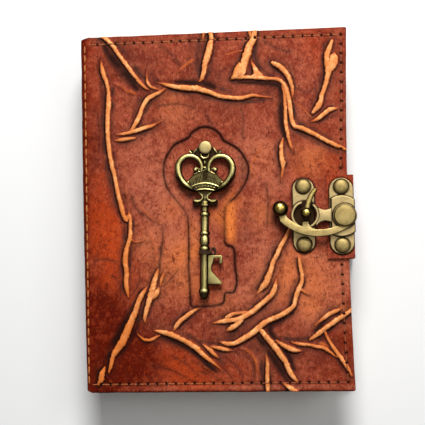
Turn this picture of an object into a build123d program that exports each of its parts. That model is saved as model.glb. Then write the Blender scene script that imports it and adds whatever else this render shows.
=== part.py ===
from build123d import *
import os

# A leather-bound diary with a strap clasp and an ornamental key riveted to its front cover.
# Millimetres. The book lies on its back cover: X runs from the spine to the fore-edge, Y up the page,
# Z out of the front cover. The origin is the middle of the back cover's outer face.

# Covers: a leather skin, a board and a paper lining, folded at both edges of the spine
COVER_WIDTH = 132.0
COVER_HEIGHT = 178.0
CORNER_RADIUS = 2.5
FORE_EDGE_DIP = 1.5
LEATHER = 1.6
BOARD = 1.6
LINING = 0.4
FOLD_CLEARANCE = 0.3
COVER_CLEARANCE = 0.2

# Text block: sewn gatherings
SIGNATURE_COUNT = 8
SIGNATURE = 2.6
LEAF_CLEARANCE = 0.05
BLOCK_CLEARANCE = 0.8
HEAD_MARGIN = 4.0
FORE_MARGIN = 6.0
THREAD_RADIUS = 0.3
THREAD_STATIONS = 4
THREAD_PITCH = 40.0

# Closing strap: let into the back board, up past the fore-edge and over on to the front cover
STRAP = 1.3
STRAP_WIDTH = 40.8
STRAP_ANCHOR = 16.0
STRAP_CLEARANCE = 0.2
STRAP_Y = -4.6
TAB_REACH = 11.8
TAB_CLEARANCE = 0.1

# Metal plates and the rivets that hold them
PLATE = 1.0
FIT = 0.02
RIVET_RADIUS = 3.7
RIVET_DOME = 1.6
RIVET_SHANK = 1.2
RIVET_SPREAD = 14.2
CAP = 0.5
CAP_RADIUS = 2.8

# Hinge plate on the strap and catch plate on the cover, both placed from the fore-edge
HINGE_PLATE_WIDTH = 12.0
HINGE_PLATE_LENGTH = 37.4
HINGE_PLATE_INSET = 4.6
CATCH_PLATE_WIDTH = 10.9
CATCH_PLATE_LENGTH = 36.7
CATCH_PLATE_INSET = 23.0
CLASP_Y = -4.3
CATCH_RISE = 0.7

# Pin hinge between the hinge plate and the eye flap
PIN_RADIUS = 0.5
PIN_INSET = 0.5
RUNNING_FIT = 0.05
FLAP_KNUCKLE = 9.0
END_KNUCKLE = 5.0
KNUCKLE_GAP = 0.2

# Eye flap: a disc over the hinge plate, a waist and a split ring round the post
FLAP_CLEARANCE = 0.1
FLAP_DISC_RADIUS = 10.0
FLAP_DISC_REACH = 9.7
FLAP_PAD = 0.7
RING_OUTER = 6.9
RING_INNER = 5.4
RING_INSET = 22.3
RING_RISE = 0.9
RING_SPLIT = 5.0
RING_SPLIT_ANGLE = 78.0
WAIST_WIDTH = 6.3
WAIST_FLARE = 1.4
WAIST_CURVE = 5.5

# Swing lever on its pivot rivet
PIVOT_INSET = 3.2
PIVOT_SHANK = 1.8
PIVOT_HEAD_RADIUS = 4.9
PIVOT_HEAD = 1.9
PIVOT_CHAMFER = 0.5
LEVER = 1.2
LEVER_CLEARANCE = 0.05
LEVER_HUB = 5.6
LEVER_BALL_RADIUS = 3.65
LEVER_BALL_LIFT = 0.5
LEVER_STEM = 3.0
LEVER_BALL = (-31.0, 4.1)
LEVER_OUTER = [(-31.3, -2.2), (-12.0, -9.9), (4.2, -4.0)]
LEVER_INNER = [(-3.0, -4.4), (-11.5, -6.3), (-27.3, -0.5)]
LEVER_TOOTH = [(-21.2, -6.5), (-20.4, -2.2), (-17.5, -2.2), (-15.8, -6.5)]

# Catch post with a ball head and a horn
POST_INSET = 21.7
POST_RISE = 1.5
POST_NECK = 1.3
POST_COLLAR_RADIUS = 2.4
POST_COLLAR = 0.8
POST_BALL_RADIUS = 2.8
POST_BALL_LIFT = 2.45
HORN_RADIUS = 0.85
HORN_DROP = 2.6
HORN_MIDDLE = (1.5, 6.3, -1.4)
HORN_TIP = (4.85, 11.6, -0.6)

# Key: places are measured in the key's own plane, from the middle of its rivet, with its shaft down -Y
KEY_X = -4.5
KEY_Y = 31.0
KEY_LEAN = 1.5
KEY_SEAT = 0.05
KEY_PLATE = 1.6
KEY_RIVET_RADIUS = 3.3
KEY_FINIAL = 4.2
KEY_FINIAL_LEAF = 1.5
KEY_LEAF_SPREAD = 5.2
KEY_LEAF_DROP = 1.6
KEY_BAR = 1.35
KEY_LOOP_RADIUS = 5.6
KEY_LOOP_OUT = 13.3
KEY_LOOP_DROP = 10.3
KEY_BOW_FOOT = 21.2
KEY_STEM = 3.2
KEY_CROWN = [(2.4, -9.4), (4.6, -13.4), (8.9, -16.6), (7.6, -19.0), (4.6, -21.4)]
KEY_NECK = 3.8
KEY_SCROLL_DROP = 25.9
KEY_SCROLL_REACH = 5.2
KEY_SCROLL = 1.1
KEY_SHAFT_TOP = 26.8
KEY_SHAFT_RADIUS = 1.95
KEY_SLIM_RADIUS = 1.75
KEY_COLLAR_RADIUS = 2.75
KEY_COLLAR = 1.2
KEY_COLLAR_DROPS = [27.5, 32.2, 41.8, 49.2, 69.7]
KEY_SLIM_SPANS = 2
KEY_BEAD_RADIUS = 2.45
KEY_BEAD_DROP = 45.4
KEY_TIP_DROP = 73.9
KEY_TIP_RADIUS = 0.9
KEY_BIT_REACH = 8.8
KEY_BIT_TOP = 52.6
KEY_BIT_FOOT = 66.8
KEY_BIT_HOOK = 4.1
KEY_BIT_RIM = 1.4
KEY_BIT_WAIST = 3.4
TIE_RADIUS = 0.5
TIE_DROP = 51.4
TIE_KNOT = 1.2

# Keyhole-shaped panel sunk into the front leather round the key
RECESS = 0.5
KEYHOLE_RADIUS = 20.9
KEYHOLE_DROP = 10.8
KEYHOLE_CAP = 9.8
KEYHOLE_CAP_RISE = 1.0
KEYHOLE_SLOT = 18.2
KEYHOLE_FOOT = 78.6
KEYHOLE_STEP = 4.8
KEYHOLE_STEP_TOP = 48.6
KEYHOLE_STEP_FOOT = 72.0

# Heights and places that follow from the sizes above
cover = LEATHER + BOARD + LINING
block = SIGNATURE_COUNT * SIGNATURE
front_base = cover + block + COVER_CLEARANCE
front_top = front_base + cover
fore_edge = COVER_WIDTH / 2
fold_radius = cover / 2
fold_x = -fore_edge + fold_radius
panel_left = fold_x + fold_radius + FOLD_CLEARANCE
block_left = -fore_edge + LEATHER + LINING + BLOCK_CLEARANCE

strap_x = fore_edge + STRAP_CLEARANCE + STRAP / 2
strap_low = LEATHER + STRAP / 2
strap_high = front_top + TAB_CLEARANCE + STRAP / 2
tab_left = fore_edge - TAB_REACH
tab_right = strap_x - STRAP / 2 - FOLD_CLEARANCE

hinge_base = strap_high + STRAP / 2
hinge_top = hinge_base + PLATE
hinge_x = fore_edge - HINGE_PLATE_INSET
pin_x = hinge_x + HINGE_PLATE_WIDTH / 2 - PIN_INSET
pin_z = hinge_top + FLAP_CLEARANCE / 2
knuckle_edge = pin_x - PLATE - KNUCKLE_GAP
barrel = FLAP_KNUCKLE + 2 * (END_KNUCKLE + KNUCKLE_GAP)
catch_x = fore_edge - CATCH_PLATE_INSET
catch_y = CLASP_Y + CATCH_RISE
catch_top = front_top + PLATE

flap_base = hinge_top + FLAP_CLEARANCE
flap_top = flap_base + PLATE
pad_top = flap_top + FLAP_PAD
lever_base = pad_top + LEVER_CLEARANCE
lever_top = lever_base + LEVER
pivot = (fore_edge - PIVOT_INSET, CLASP_Y)
ball_z = (lever_base + lever_top) / 2 + LEVER_BALL_LIFT
ring = (fore_edge - RING_INSET, CLASP_Y + RING_RISE)
post = (fore_edge - POST_INSET, CLASP_Y + POST_RISE)
post_ball_z = lever_top + POST_BALL_LIFT
cap_base = front_base + LINING

key_z = front_top - RECESS + KEY_COLLAR_RADIUS + KEY_SEAT
key_place = Pos(KEY_X, KEY_Y, key_z) * Rot(0, 0, -KEY_LEAN)
key_rivet_at = (KEY_X, KEY_Y)


def block_between(low, high):
    """A box from its lowest corner to its highest corner."""
    size = [b - a for a, b in zip(low, high)]
    middle = [(a + b) / 2 for a, b in zip(low, high)]
    return Pos(*middle) * Box(*size)


def rod_along_y(x, z, radius, middle, length):
    return Pos(x, middle, z) * Rot(90, 0, 0) * Cylinder(radius, length)


def peg(at, radius, low, high):
    """An upright round peg, also used as the cutter for its hole."""
    return Pos(at[0], at[1], (low + high) / 2) * Cylinder(radius, high - low)


def layer(face, base, thickness):
    return extrude(Pos(0, 0, base) * face, thickness)


def dome(at, radius, rise, base):
    ball = (radius**2 + rise**2) / (2 * rise)
    return Pos(at[0], at[1], base + rise - ball) * Sphere(ball) & peg(at, radius, base, base + rise)


def rivet(at, radius, seat, foot):
    return dome(at, radius, RIVET_DOME, seat) + peg(at, RIVET_SHANK, foot, seat)


def rivet_cap(at, foot):
    return peg(at, CAP_RADIUS, foot, foot + CAP) - peg(at, RIVET_SHANK + FIT, foot, foot + CAP)


def cap_seat(at, foot, top):
    """The hole for a rivet's shank and the pocket for its cap, through a layer from foot to top."""
    return peg(at, RIVET_SHANK + FIT, foot, top) + peg(at, CAP_RADIUS + FIT, foot, foot + CAP)


def cover_face():
    top = COVER_HEIGHT / 2
    edges = [
        Line((panel_left, -top), (fore_edge, -top)),
        ThreePointArc((fore_edge, -top), (fore_edge - FORE_EDGE_DIP, 0), (fore_edge, top)),
        Line((fore_edge, top), (panel_left, top)),
        Line((panel_left, top), (panel_left, -top)),
    ]
    face = make_face(edges)
    return fillet(face.vertices().sort_by(Axis.X)[-2:], CORNER_RADIUS)


def plate_face(x, y, width, length):
    return Pos(x, y) * SlotOverall(length, width, rotation=90)


def rivet_pair(x, y):
    return [(x, y + RIVET_SPREAD), (x, y - RIVET_SPREAD)]


def back_cover():
    leather = layer(cover_face(), 0, LEATHER)
    board = layer(cover_face(), LEATHER, BOARD)
    lining = layer(cover_face(), LEATHER + BOARD, LINING)
    half = STRAP_WIDTH / 2
    anchor_left = fore_edge - STRAP_ANCHOR
    anchor = block_between(
        (anchor_left, STRAP_Y - half, LEATHER), (strap_x, STRAP_Y + half, LEATHER + STRAP)
    )
    anchor += rod_along_y(strap_x, strap_low, STRAP / 2, STRAP_Y, STRAP_WIDTH)
    pocket = block_between(
        (anchor_left - FIT, STRAP_Y - half - FIT, LEATHER),
        (strap_x, STRAP_Y + half + FIT, LEATHER + STRAP),
    )
    return {
        "back_leather": leather,
        "back_board": board - pocket,
        "back_lining": lining - pocket,
        "strap_anchor": anchor,
    }


def spine():
    width = COVER_HEIGHT
    left = -fore_edge
    upper = front_base + fold_radius
    leather = block_between((left, -width / 2, fold_radius), (left + LEATHER, width / 2, upper))
    for height in (fold_radius, upper):
        leather += rod_along_y(fold_x, height, fold_radius, 0, width)
    lining = block_between(
        (left + LEATHER, -width / 2 + HEAD_MARGIN, cover + LINING),
        (left + LEATHER + LINING, width / 2 - HEAD_MARGIN, front_base - LINING),
    )
    return {"spine_leather": leather, "spine_lining": lining}


def text_block():
    gathering = SIGNATURE / 2 - LEAF_CLEARANCE
    fold = block_left + SIGNATURE / 2
    half = COVER_HEIGHT / 2 - HEAD_MARGIN
    pieces = {}
    middles = []
    for number in range(1, SIGNATURE_COUNT + 1):
        middle = cover + (SIGNATURE_COUNT - number + 0.5) * SIGNATURE
        middles.append(middle)
        leaves = block_between(
            (fold, -half, middle - gathering), (fore_edge - FORE_MARGIN, half, middle + gathering)
        )
        leaves += rod_along_y(fold, middle, gathering, 0, 2 * half)
        pieces[f"signature_{number}"] = leaves
    thread_x = fold - gathering - THREAD_RADIUS - FIT
    first = -(THREAD_STATIONS - 1) / 2 * THREAD_PITCH
    threads = [
        peg((thread_x, first + station * THREAD_PITCH), THREAD_RADIUS, middles[-1], middles[1])
        for station in range(THREAD_STATIONS)
    ]
    pieces["sewing_thread"] = Compound(children=threads)
    return pieces


def keyhole_face():
    """The panel's outline: a round head with a bump at its top, a slot and a step for the key's bit."""
    middle = KEY_Y - KEYHOLE_DROP
    foot = KEY_Y - KEYHOLE_FOOT
    half = KEYHOLE_SLOT / 2
    slot = Pos(KEY_X, (middle + foot) / 2) * Rectangle(KEYHOLE_SLOT, middle - foot)
    step_top = KEY_Y - KEYHOLE_STEP_TOP
    step_foot = KEY_Y - KEYHOLE_STEP_FOOT
    step = Pos(KEY_X + (half + KEYHOLE_STEP) / 2, (step_top + step_foot) / 2) * Rectangle(
        half + KEYHOLE_STEP, step_top - step_foot
    )
    head = Pos(KEY_X, middle) * Circle(KEYHOLE_RADIUS)
    bump = Pos(KEY_X, KEY_Y + KEYHOLE_CAP_RISE) * Circle(KEYHOLE_CAP)
    return head + bump + slot + step


def front_cover():
    leather = layer(cover_face(), front_top - LEATHER, LEATHER)
    board = layer(cover_face(), cap_base, BOARD)
    lining = layer(cover_face(), front_base, LINING)
    leather -= layer(keyhole_face(), front_top - RECESS, RECESS)
    for at in rivet_pair(catch_x, catch_y) + [post, key_rivet_at]:
        leather -= peg(at, RIVET_SHANK + FIT, front_top - LEATHER, front_top)
        board -= cap_seat(at, cap_base, cap_base + BOARD)
    leather -= tie_legs(TIE_RADIUS + FIT)
    return {"front_leather": leather, "front_board": board, "front_lining": lining}


def catch():
    at_rivets = rivet_pair(catch_x, catch_y)
    plate = layer(
        plate_face(catch_x, catch_y, CATCH_PLATE_WIDTH, CATCH_PLATE_LENGTH), front_top, PLATE
    )
    for at in at_rivets + [post]:
        plate -= peg(at, RIVET_SHANK + FIT, front_top, catch_top)
    stud = peg(post, RIVET_SHANK, cap_base, catch_top)
    stud += peg(post, POST_COLLAR_RADIUS, catch_top, catch_top + POST_COLLAR)
    stud += peg(post, POST_NECK, catch_top + POST_COLLAR, post_ball_z)
    stud += Pos(*post, post_ball_z) * Sphere(POST_BALL_RADIUS)
    start = (*post, post_ball_z - HORN_DROP)
    middle, tip = [
        (post[0] + x, post[1] + y, post_ball_z + z) for x, y, z in (HORN_MIDDLE, HORN_TIP)
    ]
    line = ThreePointArc(start, middle, tip)
    section = Plane(origin=line @ 0, z_dir=line % 0) * Circle(HORN_RADIUS)
    stud += sweep(section, path=line)
    stud += Pos(*tip) * Sphere(HORN_RADIUS)
    return {
        "catch_plate": plate,
        "catch_post": stud,
        "catch_post_cap": rivet_cap(post, cap_base),
        "catch_rivets": Compound(
            children=[rivet(at, RIVET_RADIUS, catch_top, cap_base) for at in at_rivets]
        ),
        "catch_rivet_caps": Compound(children=[rivet_cap(at, cap_base) for at in at_rivets]),
    }


def key_bow():
    """Two round-bar loops that curl in at the top and meet at the foot."""
    centre = KEY_LOOP_OUT - KEY_LOOP_RADIUS
    foot = KEY_NECK / 2
    bow = None
    for side in (-1, 1):
        inner = (side * (centre - KEY_LOOP_RADIUS), -KEY_LOOP_DROP)
        top = (side * centre, -KEY_LOOP_DROP + KEY_LOOP_RADIUS)
        outer = (side * KEY_LOOP_OUT, -KEY_LOOP_DROP)
        curl = ThreePointArc(inner, top, outer)
        flank = TangentArc(outer, (side * foot, -KEY_BOW_FOOT), tangent=(0, -1))
        line = Wire([curl.edge(), flank.edge()])
        section = Plane(origin=line @ 0, z_dir=line % 0) * Circle(KEY_BAR)
        loop = sweep(section, path=line)
        bow = loop if bow is None else bow + loop
    return bow


def key_shaft():
    """The turned shaft: collars, a bead between the middle two and a blunt tip."""
    half = KEY_COLLAR / 2
    profile = [(0, -KEY_SHAFT_TOP)]
    for number, drop in enumerate(KEY_COLLAR_DROPS):
        profile += [(KEY_COLLAR_RADIUS, -drop + half), (KEY_COLLAR_RADIUS, -drop - half)]
        for below in KEY_COLLAR_DROPS[number + 1 : number + 2]:
            span = KEY_SLIM_RADIUS if number < KEY_SLIM_SPANS else KEY_SHAFT_RADIUS
            profile += [(span, -drop - KEY_COLLAR), (span, -below + KEY_COLLAR)]
    profile += [(KEY_TIP_RADIUS, -KEY_TIP_DROP), (0, -KEY_TIP_DROP)]
    turned = revolve(make_face(Polyline(*profile, close=True)), Axis.Y)
    return turned + Pos(0, -KEY_BEAD_DROP, 0) * Sphere(KEY_BEAD_RADIUS)


def key_bit_face():
    """A bottle-opener bit: a hooked top, a waist and a wedge at the foot."""
    hook_in = KEY_BIT_REACH - KEY_BIT_RIM
    notch = (KEY_BIT_WAIST + hook_in) / 2
    points = [
        (0, -KEY_BIT_TOP),
        (KEY_BIT_REACH, -KEY_BIT_TOP),
        (KEY_BIT_REACH, -KEY_BIT_TOP - KEY_BIT_HOOK),
        (hook_in, -KEY_BIT_TOP - KEY_BIT_HOOK),
        (hook_in, -KEY_BIT_TOP - KEY_BIT_RIM),
        (notch, -KEY_BIT_TOP - KEY_BIT_RIM),
        (KEY_BIT_WAIST, -KEY_BIT_TOP - KEY_BIT_HOOK - KEY_BIT_RIM),
        (KEY_BIT_REACH, -KEY_BIT_FOOT + KEY_BIT_RIM / 2),
        (KEY_BIT_REACH, -KEY_BIT_FOOT),
        (0, -KEY_BIT_FOOT),
    ]
    return make_face(Polyline(*points, close=True))


def key():
    flat = Circle(KEY_FINIAL)
    for side in (-1, 1):
        flat += Pos(side * KEY_LEAF_SPREAD, -KEY_LEAF_DROP) * Circle(KEY_FINIAL_LEAF)
    flat += Pos(0, -KEY_LOOP_DROP / 2) * Rectangle(KEY_STEM, KEY_LOOP_DROP)
    crown = KEY_CROWN + [(-x, y) for x, y in reversed(KEY_CROWN)]
    flat += make_face(Polyline(*crown, close=True))
    neck = KEY_SHAFT_TOP - KEY_BOW_FOOT + KEY_NECK
    flat += Pos(0, -KEY_SHAFT_TOP + neck / 2 - KEY_COLLAR) * Rectangle(KEY_NECK, neck)
    flat += key_bit_face()
    casting = layer(flat, -KEY_PLATE / 2, KEY_PLATE)
    casting += key_bow()
    casting += key_shaft()
    scroll = Pos(0, -KEY_SCROLL_DROP, 0) * Rot(0, 90, 0)
    casting += scroll * Cylinder(KEY_SCROLL, 2 * KEY_SCROLL_REACH)
    for side in (-1, 1):
        casting += Pos(side * KEY_SCROLL_REACH, -KEY_SCROLL_DROP, 0) * Sphere(KEY_SCROLL)
    casting -= peg((0, 0), RIVET_SHANK + FIT, -KEY_PLATE, KEY_PLATE)
    return key_place * casting


def tie_legs(radius):
    """Both upright legs of the cord that ties the key's shaft to the leather."""
    spread = KEY_SHAFT_RADIUS + TIE_RADIUS + FIT
    down = key_z - (front_top - LEATHER)
    legs = None
    for side in (-1, 1):
        leg = Pos(side * spread, -TIE_DROP, -down / 2) * Cylinder(radius, down)
        legs = leg if legs is None else legs + leg
    return key_place * legs


def key_tie():
    spread = KEY_SHAFT_RADIUS + TIE_RADIUS + FIT
    over = ThreePointArc((-spread, -TIE_DROP, 0), (0, -TIE_DROP, spread), (spread, -TIE_DROP, 0))
    section = Plane(origin=over @ 0, z_dir=over % 0) * Circle(TIE_RADIUS)
    loop = key_place * sweep(section, path=over)
    knot_z = front_top - RECESS + TIE_KNOT + KEY_SEAT - key_z
    knot = key_place * Pos(spread + TIE_KNOT, -TIE_DROP, knot_z) * Sphere(TIE_KNOT)
    return loop + tie_legs(TIE_RADIUS) + knot


def key_group():
    seat = key_z + KEY_PLATE / 2
    return {
        "key": key(),
        "key_rivet": rivet(key_rivet_at, KEY_RIVET_RADIUS, seat, cap_base),
        "key_rivet_cap": rivet_cap(key_rivet_at, cap_base),
        "key_tie": key_tie(),
    }


def strap():
    half = STRAP_WIDTH / 2
    side = block_between(
        (strap_x - STRAP / 2, STRAP_Y - half, strap_low + STRAP / 2 + FOLD_CLEARANCE),
        (strap_x + STRAP / 2, STRAP_Y + half, strap_high),
    )
    side += rod_along_y(strap_x, strap_high, STRAP / 2, STRAP_Y, STRAP_WIDTH)
    tab_base = strap_high - STRAP / 2
    tab = block_between(
        (tab_left, STRAP_Y - half, tab_base), (tab_right, STRAP_Y + half, hinge_base)
    )
    at_rivets = rivet_pair(hinge_x, CLASP_Y)
    for at in at_rivets:
        tab -= cap_seat(at, tab_base, hinge_base)
    return {
        "strap_side": side,
        "strap_tab": tab,
        "hinge_rivets": Compound(
            children=[rivet(at, RIVET_RADIUS, hinge_top, tab_base) for at in at_rivets]
        ),
        "hinge_rivet_caps": Compound(children=[rivet_cap(at, tab_base) for at in at_rivets]),
    }


def knuckle(middle, length, low, high):
    """A barrel of the pin hinge with the web that joins it to a plate between two heights."""
    barrel_piece = rod_along_y(pin_x, pin_z, PLATE, middle, length)
    return barrel_piece + block_between(
        (knuckle_edge - PLATE, middle - length / 2, low), (pin_x, middle + length / 2, high)
    )


def hinge():
    plate = layer(
        plate_face(hinge_x, CLASP_Y, HINGE_PLATE_WIDTH, HINGE_PLATE_LENGTH), hinge_base, PLATE
    )
    half = barrel / 2 + KNUCKLE_GAP
    plate -= block_between(
        (knuckle_edge, CLASP_Y - half, hinge_base), (pin_x + PLATE, CLASP_Y + half, hinge_top)
    )
    for side in (-1, 1):
        middle = CLASP_Y + side * (barrel - END_KNUCKLE) / 2
        plate += knuckle(middle, END_KNUCKLE, pin_z - PLATE, hinge_top)
    for at in rivet_pair(hinge_x, CLASP_Y):
        plate -= peg(at, RIVET_SHANK + FIT, hinge_base, hinge_top)
    plate -= rod_along_y(pin_x, pin_z, PIN_RADIUS + FIT, CLASP_Y, 2 * half)
    return {
        "hinge_plate": plate,
        "hinge_pin": rod_along_y(pin_x, pin_z, PIN_RADIUS, CLASP_Y, barrel),
    }


def eye_flap():
    """Disc, waist and split ring in one casting, with the middle knuckle of the hinge."""
    disc_left = pivot[0] + PIVOT_INSET - FLAP_DISC_REACH
    disc = Pos(hinge_x, CLASP_Y) * Circle(FLAP_DISC_RADIUS)
    disc &= Pos((disc_left + knuckle_edge) / 2, CLASP_Y) * Rectangle(
        knuckle_edge - disc_left, 2 * FLAP_DISC_RADIUS
    )
    waist_left = ring[0]
    waist_y = (ring[1] + CLASP_Y) / 2
    waist_height = WAIST_WIDTH + 2 * WAIST_FLARE
    waist = Pos((waist_left + hinge_x) / 2, waist_y) * Rectangle(hinge_x - waist_left, waist_height)
    neck_x = (ring[0] + RING_OUTER + disc_left) / 2
    for side in (-1, 1):
        waist -= Pos(neck_x, waist_y + side * (WAIST_WIDTH / 2 + WAIST_CURVE)) * Circle(WAIST_CURVE)
    eye = Pos(*ring) * Circle(RING_INNER)
    thin = waist + Pos(*ring) * Circle(RING_OUTER) - eye
    thin -= Pos(*ring) * Rot(0, 0, RING_SPLIT_ANGLE) * Pos(RING_OUTER, 0) * Rectangle(
        RING_OUTER, RING_SPLIT
    )
    flap = layer(disc, flap_base, pad_top - flap_base) + layer(thin, flap_base, PLATE)
    flap += knuckle(CLASP_Y, FLAP_KNUCKLE, flap_base, pin_z + PLATE)
    flap -= rod_along_y(pin_x, pin_z, PIN_RADIUS + RUNNING_FIT, CLASP_Y, barrel)
    flap -= peg(pivot, PIVOT_SHANK + FIT, flap_base, pad_top)
    return flap


def pivot_rivet():
    seat = lever_top + LEVER_CLEARANCE
    head = peg(pivot, PIVOT_HEAD_RADIUS, seat, seat + PIVOT_HEAD)
    head = chamfer(head.edges().sort_by(Axis.Z)[-1], PIVOT_CHAMFER)
    return head + peg(pivot, PIVOT_SHANK, flap_base, seat)


def lever_stem(extra):
    """The end of the lever that the ball is pushed on to."""
    foot = [(a + b) / 2 for a, b in zip(LEVER_OUTER[0], LEVER_INNER[-1])]
    middle = [(a + b) / 2 for a, b in zip(foot, LEVER_BALL)]
    return SlotCenterPoint(middle, LEVER_BALL, LEVER_STEM + 2 * extra)


def swing_lever():
    arm = make_face(
        [
            ThreePointArc(*LEVER_OUTER),
            Line(LEVER_OUTER[-1], LEVER_INNER[0]),
            ThreePointArc(*LEVER_INNER),
            Line(LEVER_INNER[-1], LEVER_OUTER[0]),
        ]
    )
    arm += Circle(LEVER_HUB)
    arm += make_face(Polyline(*LEVER_TOOTH, close=True))
    arm += lever_stem(0)
    arm -= Circle(PIVOT_SHANK + RUNNING_FIT)
    lever = Pos(*pivot) * layer(arm, lever_base, LEVER)
    ball = Pos(pivot[0] + LEVER_BALL[0], pivot[1] + LEVER_BALL[1], ball_z) * Sphere(LEVER_BALL_RADIUS)
    ball -= Pos(*pivot) * layer(lever_stem(FIT), lever_base - FIT, LEVER + 2 * FIT)
    return {"swing_lever": lever, "lever_ball": ball}


nodes = {
    **back_cover(),
    **spine(),
    **text_block(),
    **front_cover(),
    **catch(),
    **key_group(),
    **strap(),
    **hinge(),
    "eye_flap": eye_flap(),
    "pivot_rivet": pivot_rivet(),
    **swing_lever(),
}

os.makedirs("parts", exist_ok=True)
for name, shape in nodes.items():
    export_step(shape, f"parts/{name}.step")
    print(name, round(shape.volume, 2))
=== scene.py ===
import math

import bmesh
import bpy
import numpy as np
from mathutils import Euler, Matrix, Vector, noise
from mathutils.geometry import interpolate_bezier


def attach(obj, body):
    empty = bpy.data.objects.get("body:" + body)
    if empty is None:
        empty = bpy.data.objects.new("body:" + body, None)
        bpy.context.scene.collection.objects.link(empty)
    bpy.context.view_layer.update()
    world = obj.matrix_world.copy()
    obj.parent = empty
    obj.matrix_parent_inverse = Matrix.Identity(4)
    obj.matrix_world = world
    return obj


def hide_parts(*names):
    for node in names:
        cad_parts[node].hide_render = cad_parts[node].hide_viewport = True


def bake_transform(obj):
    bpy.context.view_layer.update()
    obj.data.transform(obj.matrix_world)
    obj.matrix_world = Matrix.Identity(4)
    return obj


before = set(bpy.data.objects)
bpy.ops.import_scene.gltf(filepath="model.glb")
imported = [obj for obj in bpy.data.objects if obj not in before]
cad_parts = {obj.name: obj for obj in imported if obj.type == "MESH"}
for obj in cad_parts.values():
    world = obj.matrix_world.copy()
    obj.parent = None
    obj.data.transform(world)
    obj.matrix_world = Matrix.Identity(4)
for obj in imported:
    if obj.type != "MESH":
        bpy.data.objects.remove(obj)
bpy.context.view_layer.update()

# Pieces are shaped in millimetres and brought to metres when they are finished.
MM = 0.001

# Camera, fitted to the photograph's frame
PHOTO = 425.0
LENS = 85.5
SENSOR = 36.0
VIEW_AT = Vector((48.508, -29.987, 523.236))
VIEW_TURN = Euler([math.radians(a) for a in (3.2266, 5.8652, -1.0624)])
# Millimetres of the cover that a pixel shows
PIXEL = 0.49

# Sizes of the CAD model that the pieces are built on
FRONT_TOP = 28.2
LEATHER = 1.6
HIDE_FOOT = FRONT_TOP - LEATHER
PANEL_LEFT = -62.1
FORE_EDGE = 66.0
FORE_DIP = 1.5
HALF_HEIGHT = 89.0
CORNER = 1.0
FOLD_X = -64.2
FOLD_RADIUS = 1.8
FOLD_HIGH = 26.4
SPINE_MIDDLE = 14.1
RECESS = 0.5


def on_cover(px, py):
    """The place on the cover that a pixel of the photograph shows."""
    focal = LENS / SENSOR * PHOTO
    ray = Vector(((px - PHOTO / 2) / focal, (PHOTO / 2 - py) / focal, -1))
    ray.rotate(VIEW_TURN)
    return VIEW_AT + ray * ((FRONT_TOP - VIEW_AT.z) / ray.z)


class Value:
    """A shader socket. Arithmetic on it adds Math nodes."""

    def __init__(self, finish, socket):
        self.finish = finish
        self.socket = socket

    def __add__(self, other):
        return self.finish.math("ADD", self, other)

    def __sub__(self, other):
        return self.finish.math("SUBTRACT", self, other)

    def __rsub__(self, other):
        return self.finish.math("SUBTRACT", other, self)

    def __mul__(self, other):
        return self.finish.math("MULTIPLY", self, other)

    __radd__ = __add__
    __rmul__ = __mul__


class Finish:
    """A material, with one way to add any node to it."""

    def __init__(self, name, **constants):
        self.material = bpy.data.materials.new(name)
        self.material.use_nodes = True
        self.tree = self.material.node_tree
        self.shader = self.tree.nodes["Principled BSDF"]
        self.surface(**constants)

    def add(self, kind, settings=None, inputs=None, output=0):
        node = self.tree.nodes.new(kind)
        for name, value in (settings or {}).items():
            setattr(node, name, value)
        for name, value in (inputs or {}).items():
            self.feed(node.inputs[name], value)
        return Value(self, node.outputs[output])

    def feed(self, socket, value):
        if isinstance(value, Value):
            self.tree.links.new(value.socket, socket)
        elif isinstance(value, tuple) and socket.type == "RGBA":
            socket.default_value = (*value, 1.0)
        else:
            socket.default_value = value

    def math(self, operation, *values):
        return self.add("ShaderNodeMath", {"operation": operation}, dict(enumerate(values)))

    def place(self):
        return self.add("ShaderNodeTexCoord", output="Object")

    def stretched(self, scale):
        return self.add("ShaderNodeMapping", None, {"Vector": self.place(), "Scale": scale})

    def noise(self, scale, detail=4.0, rough=0.5, where=None, twist=0.0):
        inputs = {
            "Vector": where or self.place(),
            "Scale": scale,
            "Detail": detail,
            "Roughness": rough,
            "Distortion": twist,
        }
        return self.add("ShaderNodeTexNoise", None, inputs, "Fac")

    def cells(self, scale, feature="F1"):
        inputs = {"Vector": self.place(), "Scale": scale}
        return self.add("ShaderNodeTexVoronoi", {"feature": feature}, inputs, "Distance")

    def mask(self, name):
        return self.add("ShaderNodeAttribute", {"attribute_name": name}, None, "Fac")

    def between(self, value, low, high):
        """0 where the value is low, 1 where it is high, with a soft step from one to the other."""
        inputs = {"Value": value, "From Min": low, "From Max": high}
        return self.add("ShaderNodeMapRange", {"interpolation_type": "SMOOTHSTEP"}, inputs)

    def mix(self, share, first, second):
        return self.add("ShaderNodeMix", {"data_type": "RGBA"}, {0: share, 6: first, 7: second}, 2)

    def bump(self, height, distance, strength, under=None):
        inputs = {"Height": height, "Distance": distance, "Strength": strength}
        if under is not None:
            inputs["Normal"] = under
        return self.add("ShaderNodeBump", None, inputs)

    def surface(self, **sockets):
        for name, value in sockets.items():
            self.feed(self.shader.inputs[name.replace("_", " ")], value)


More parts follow.
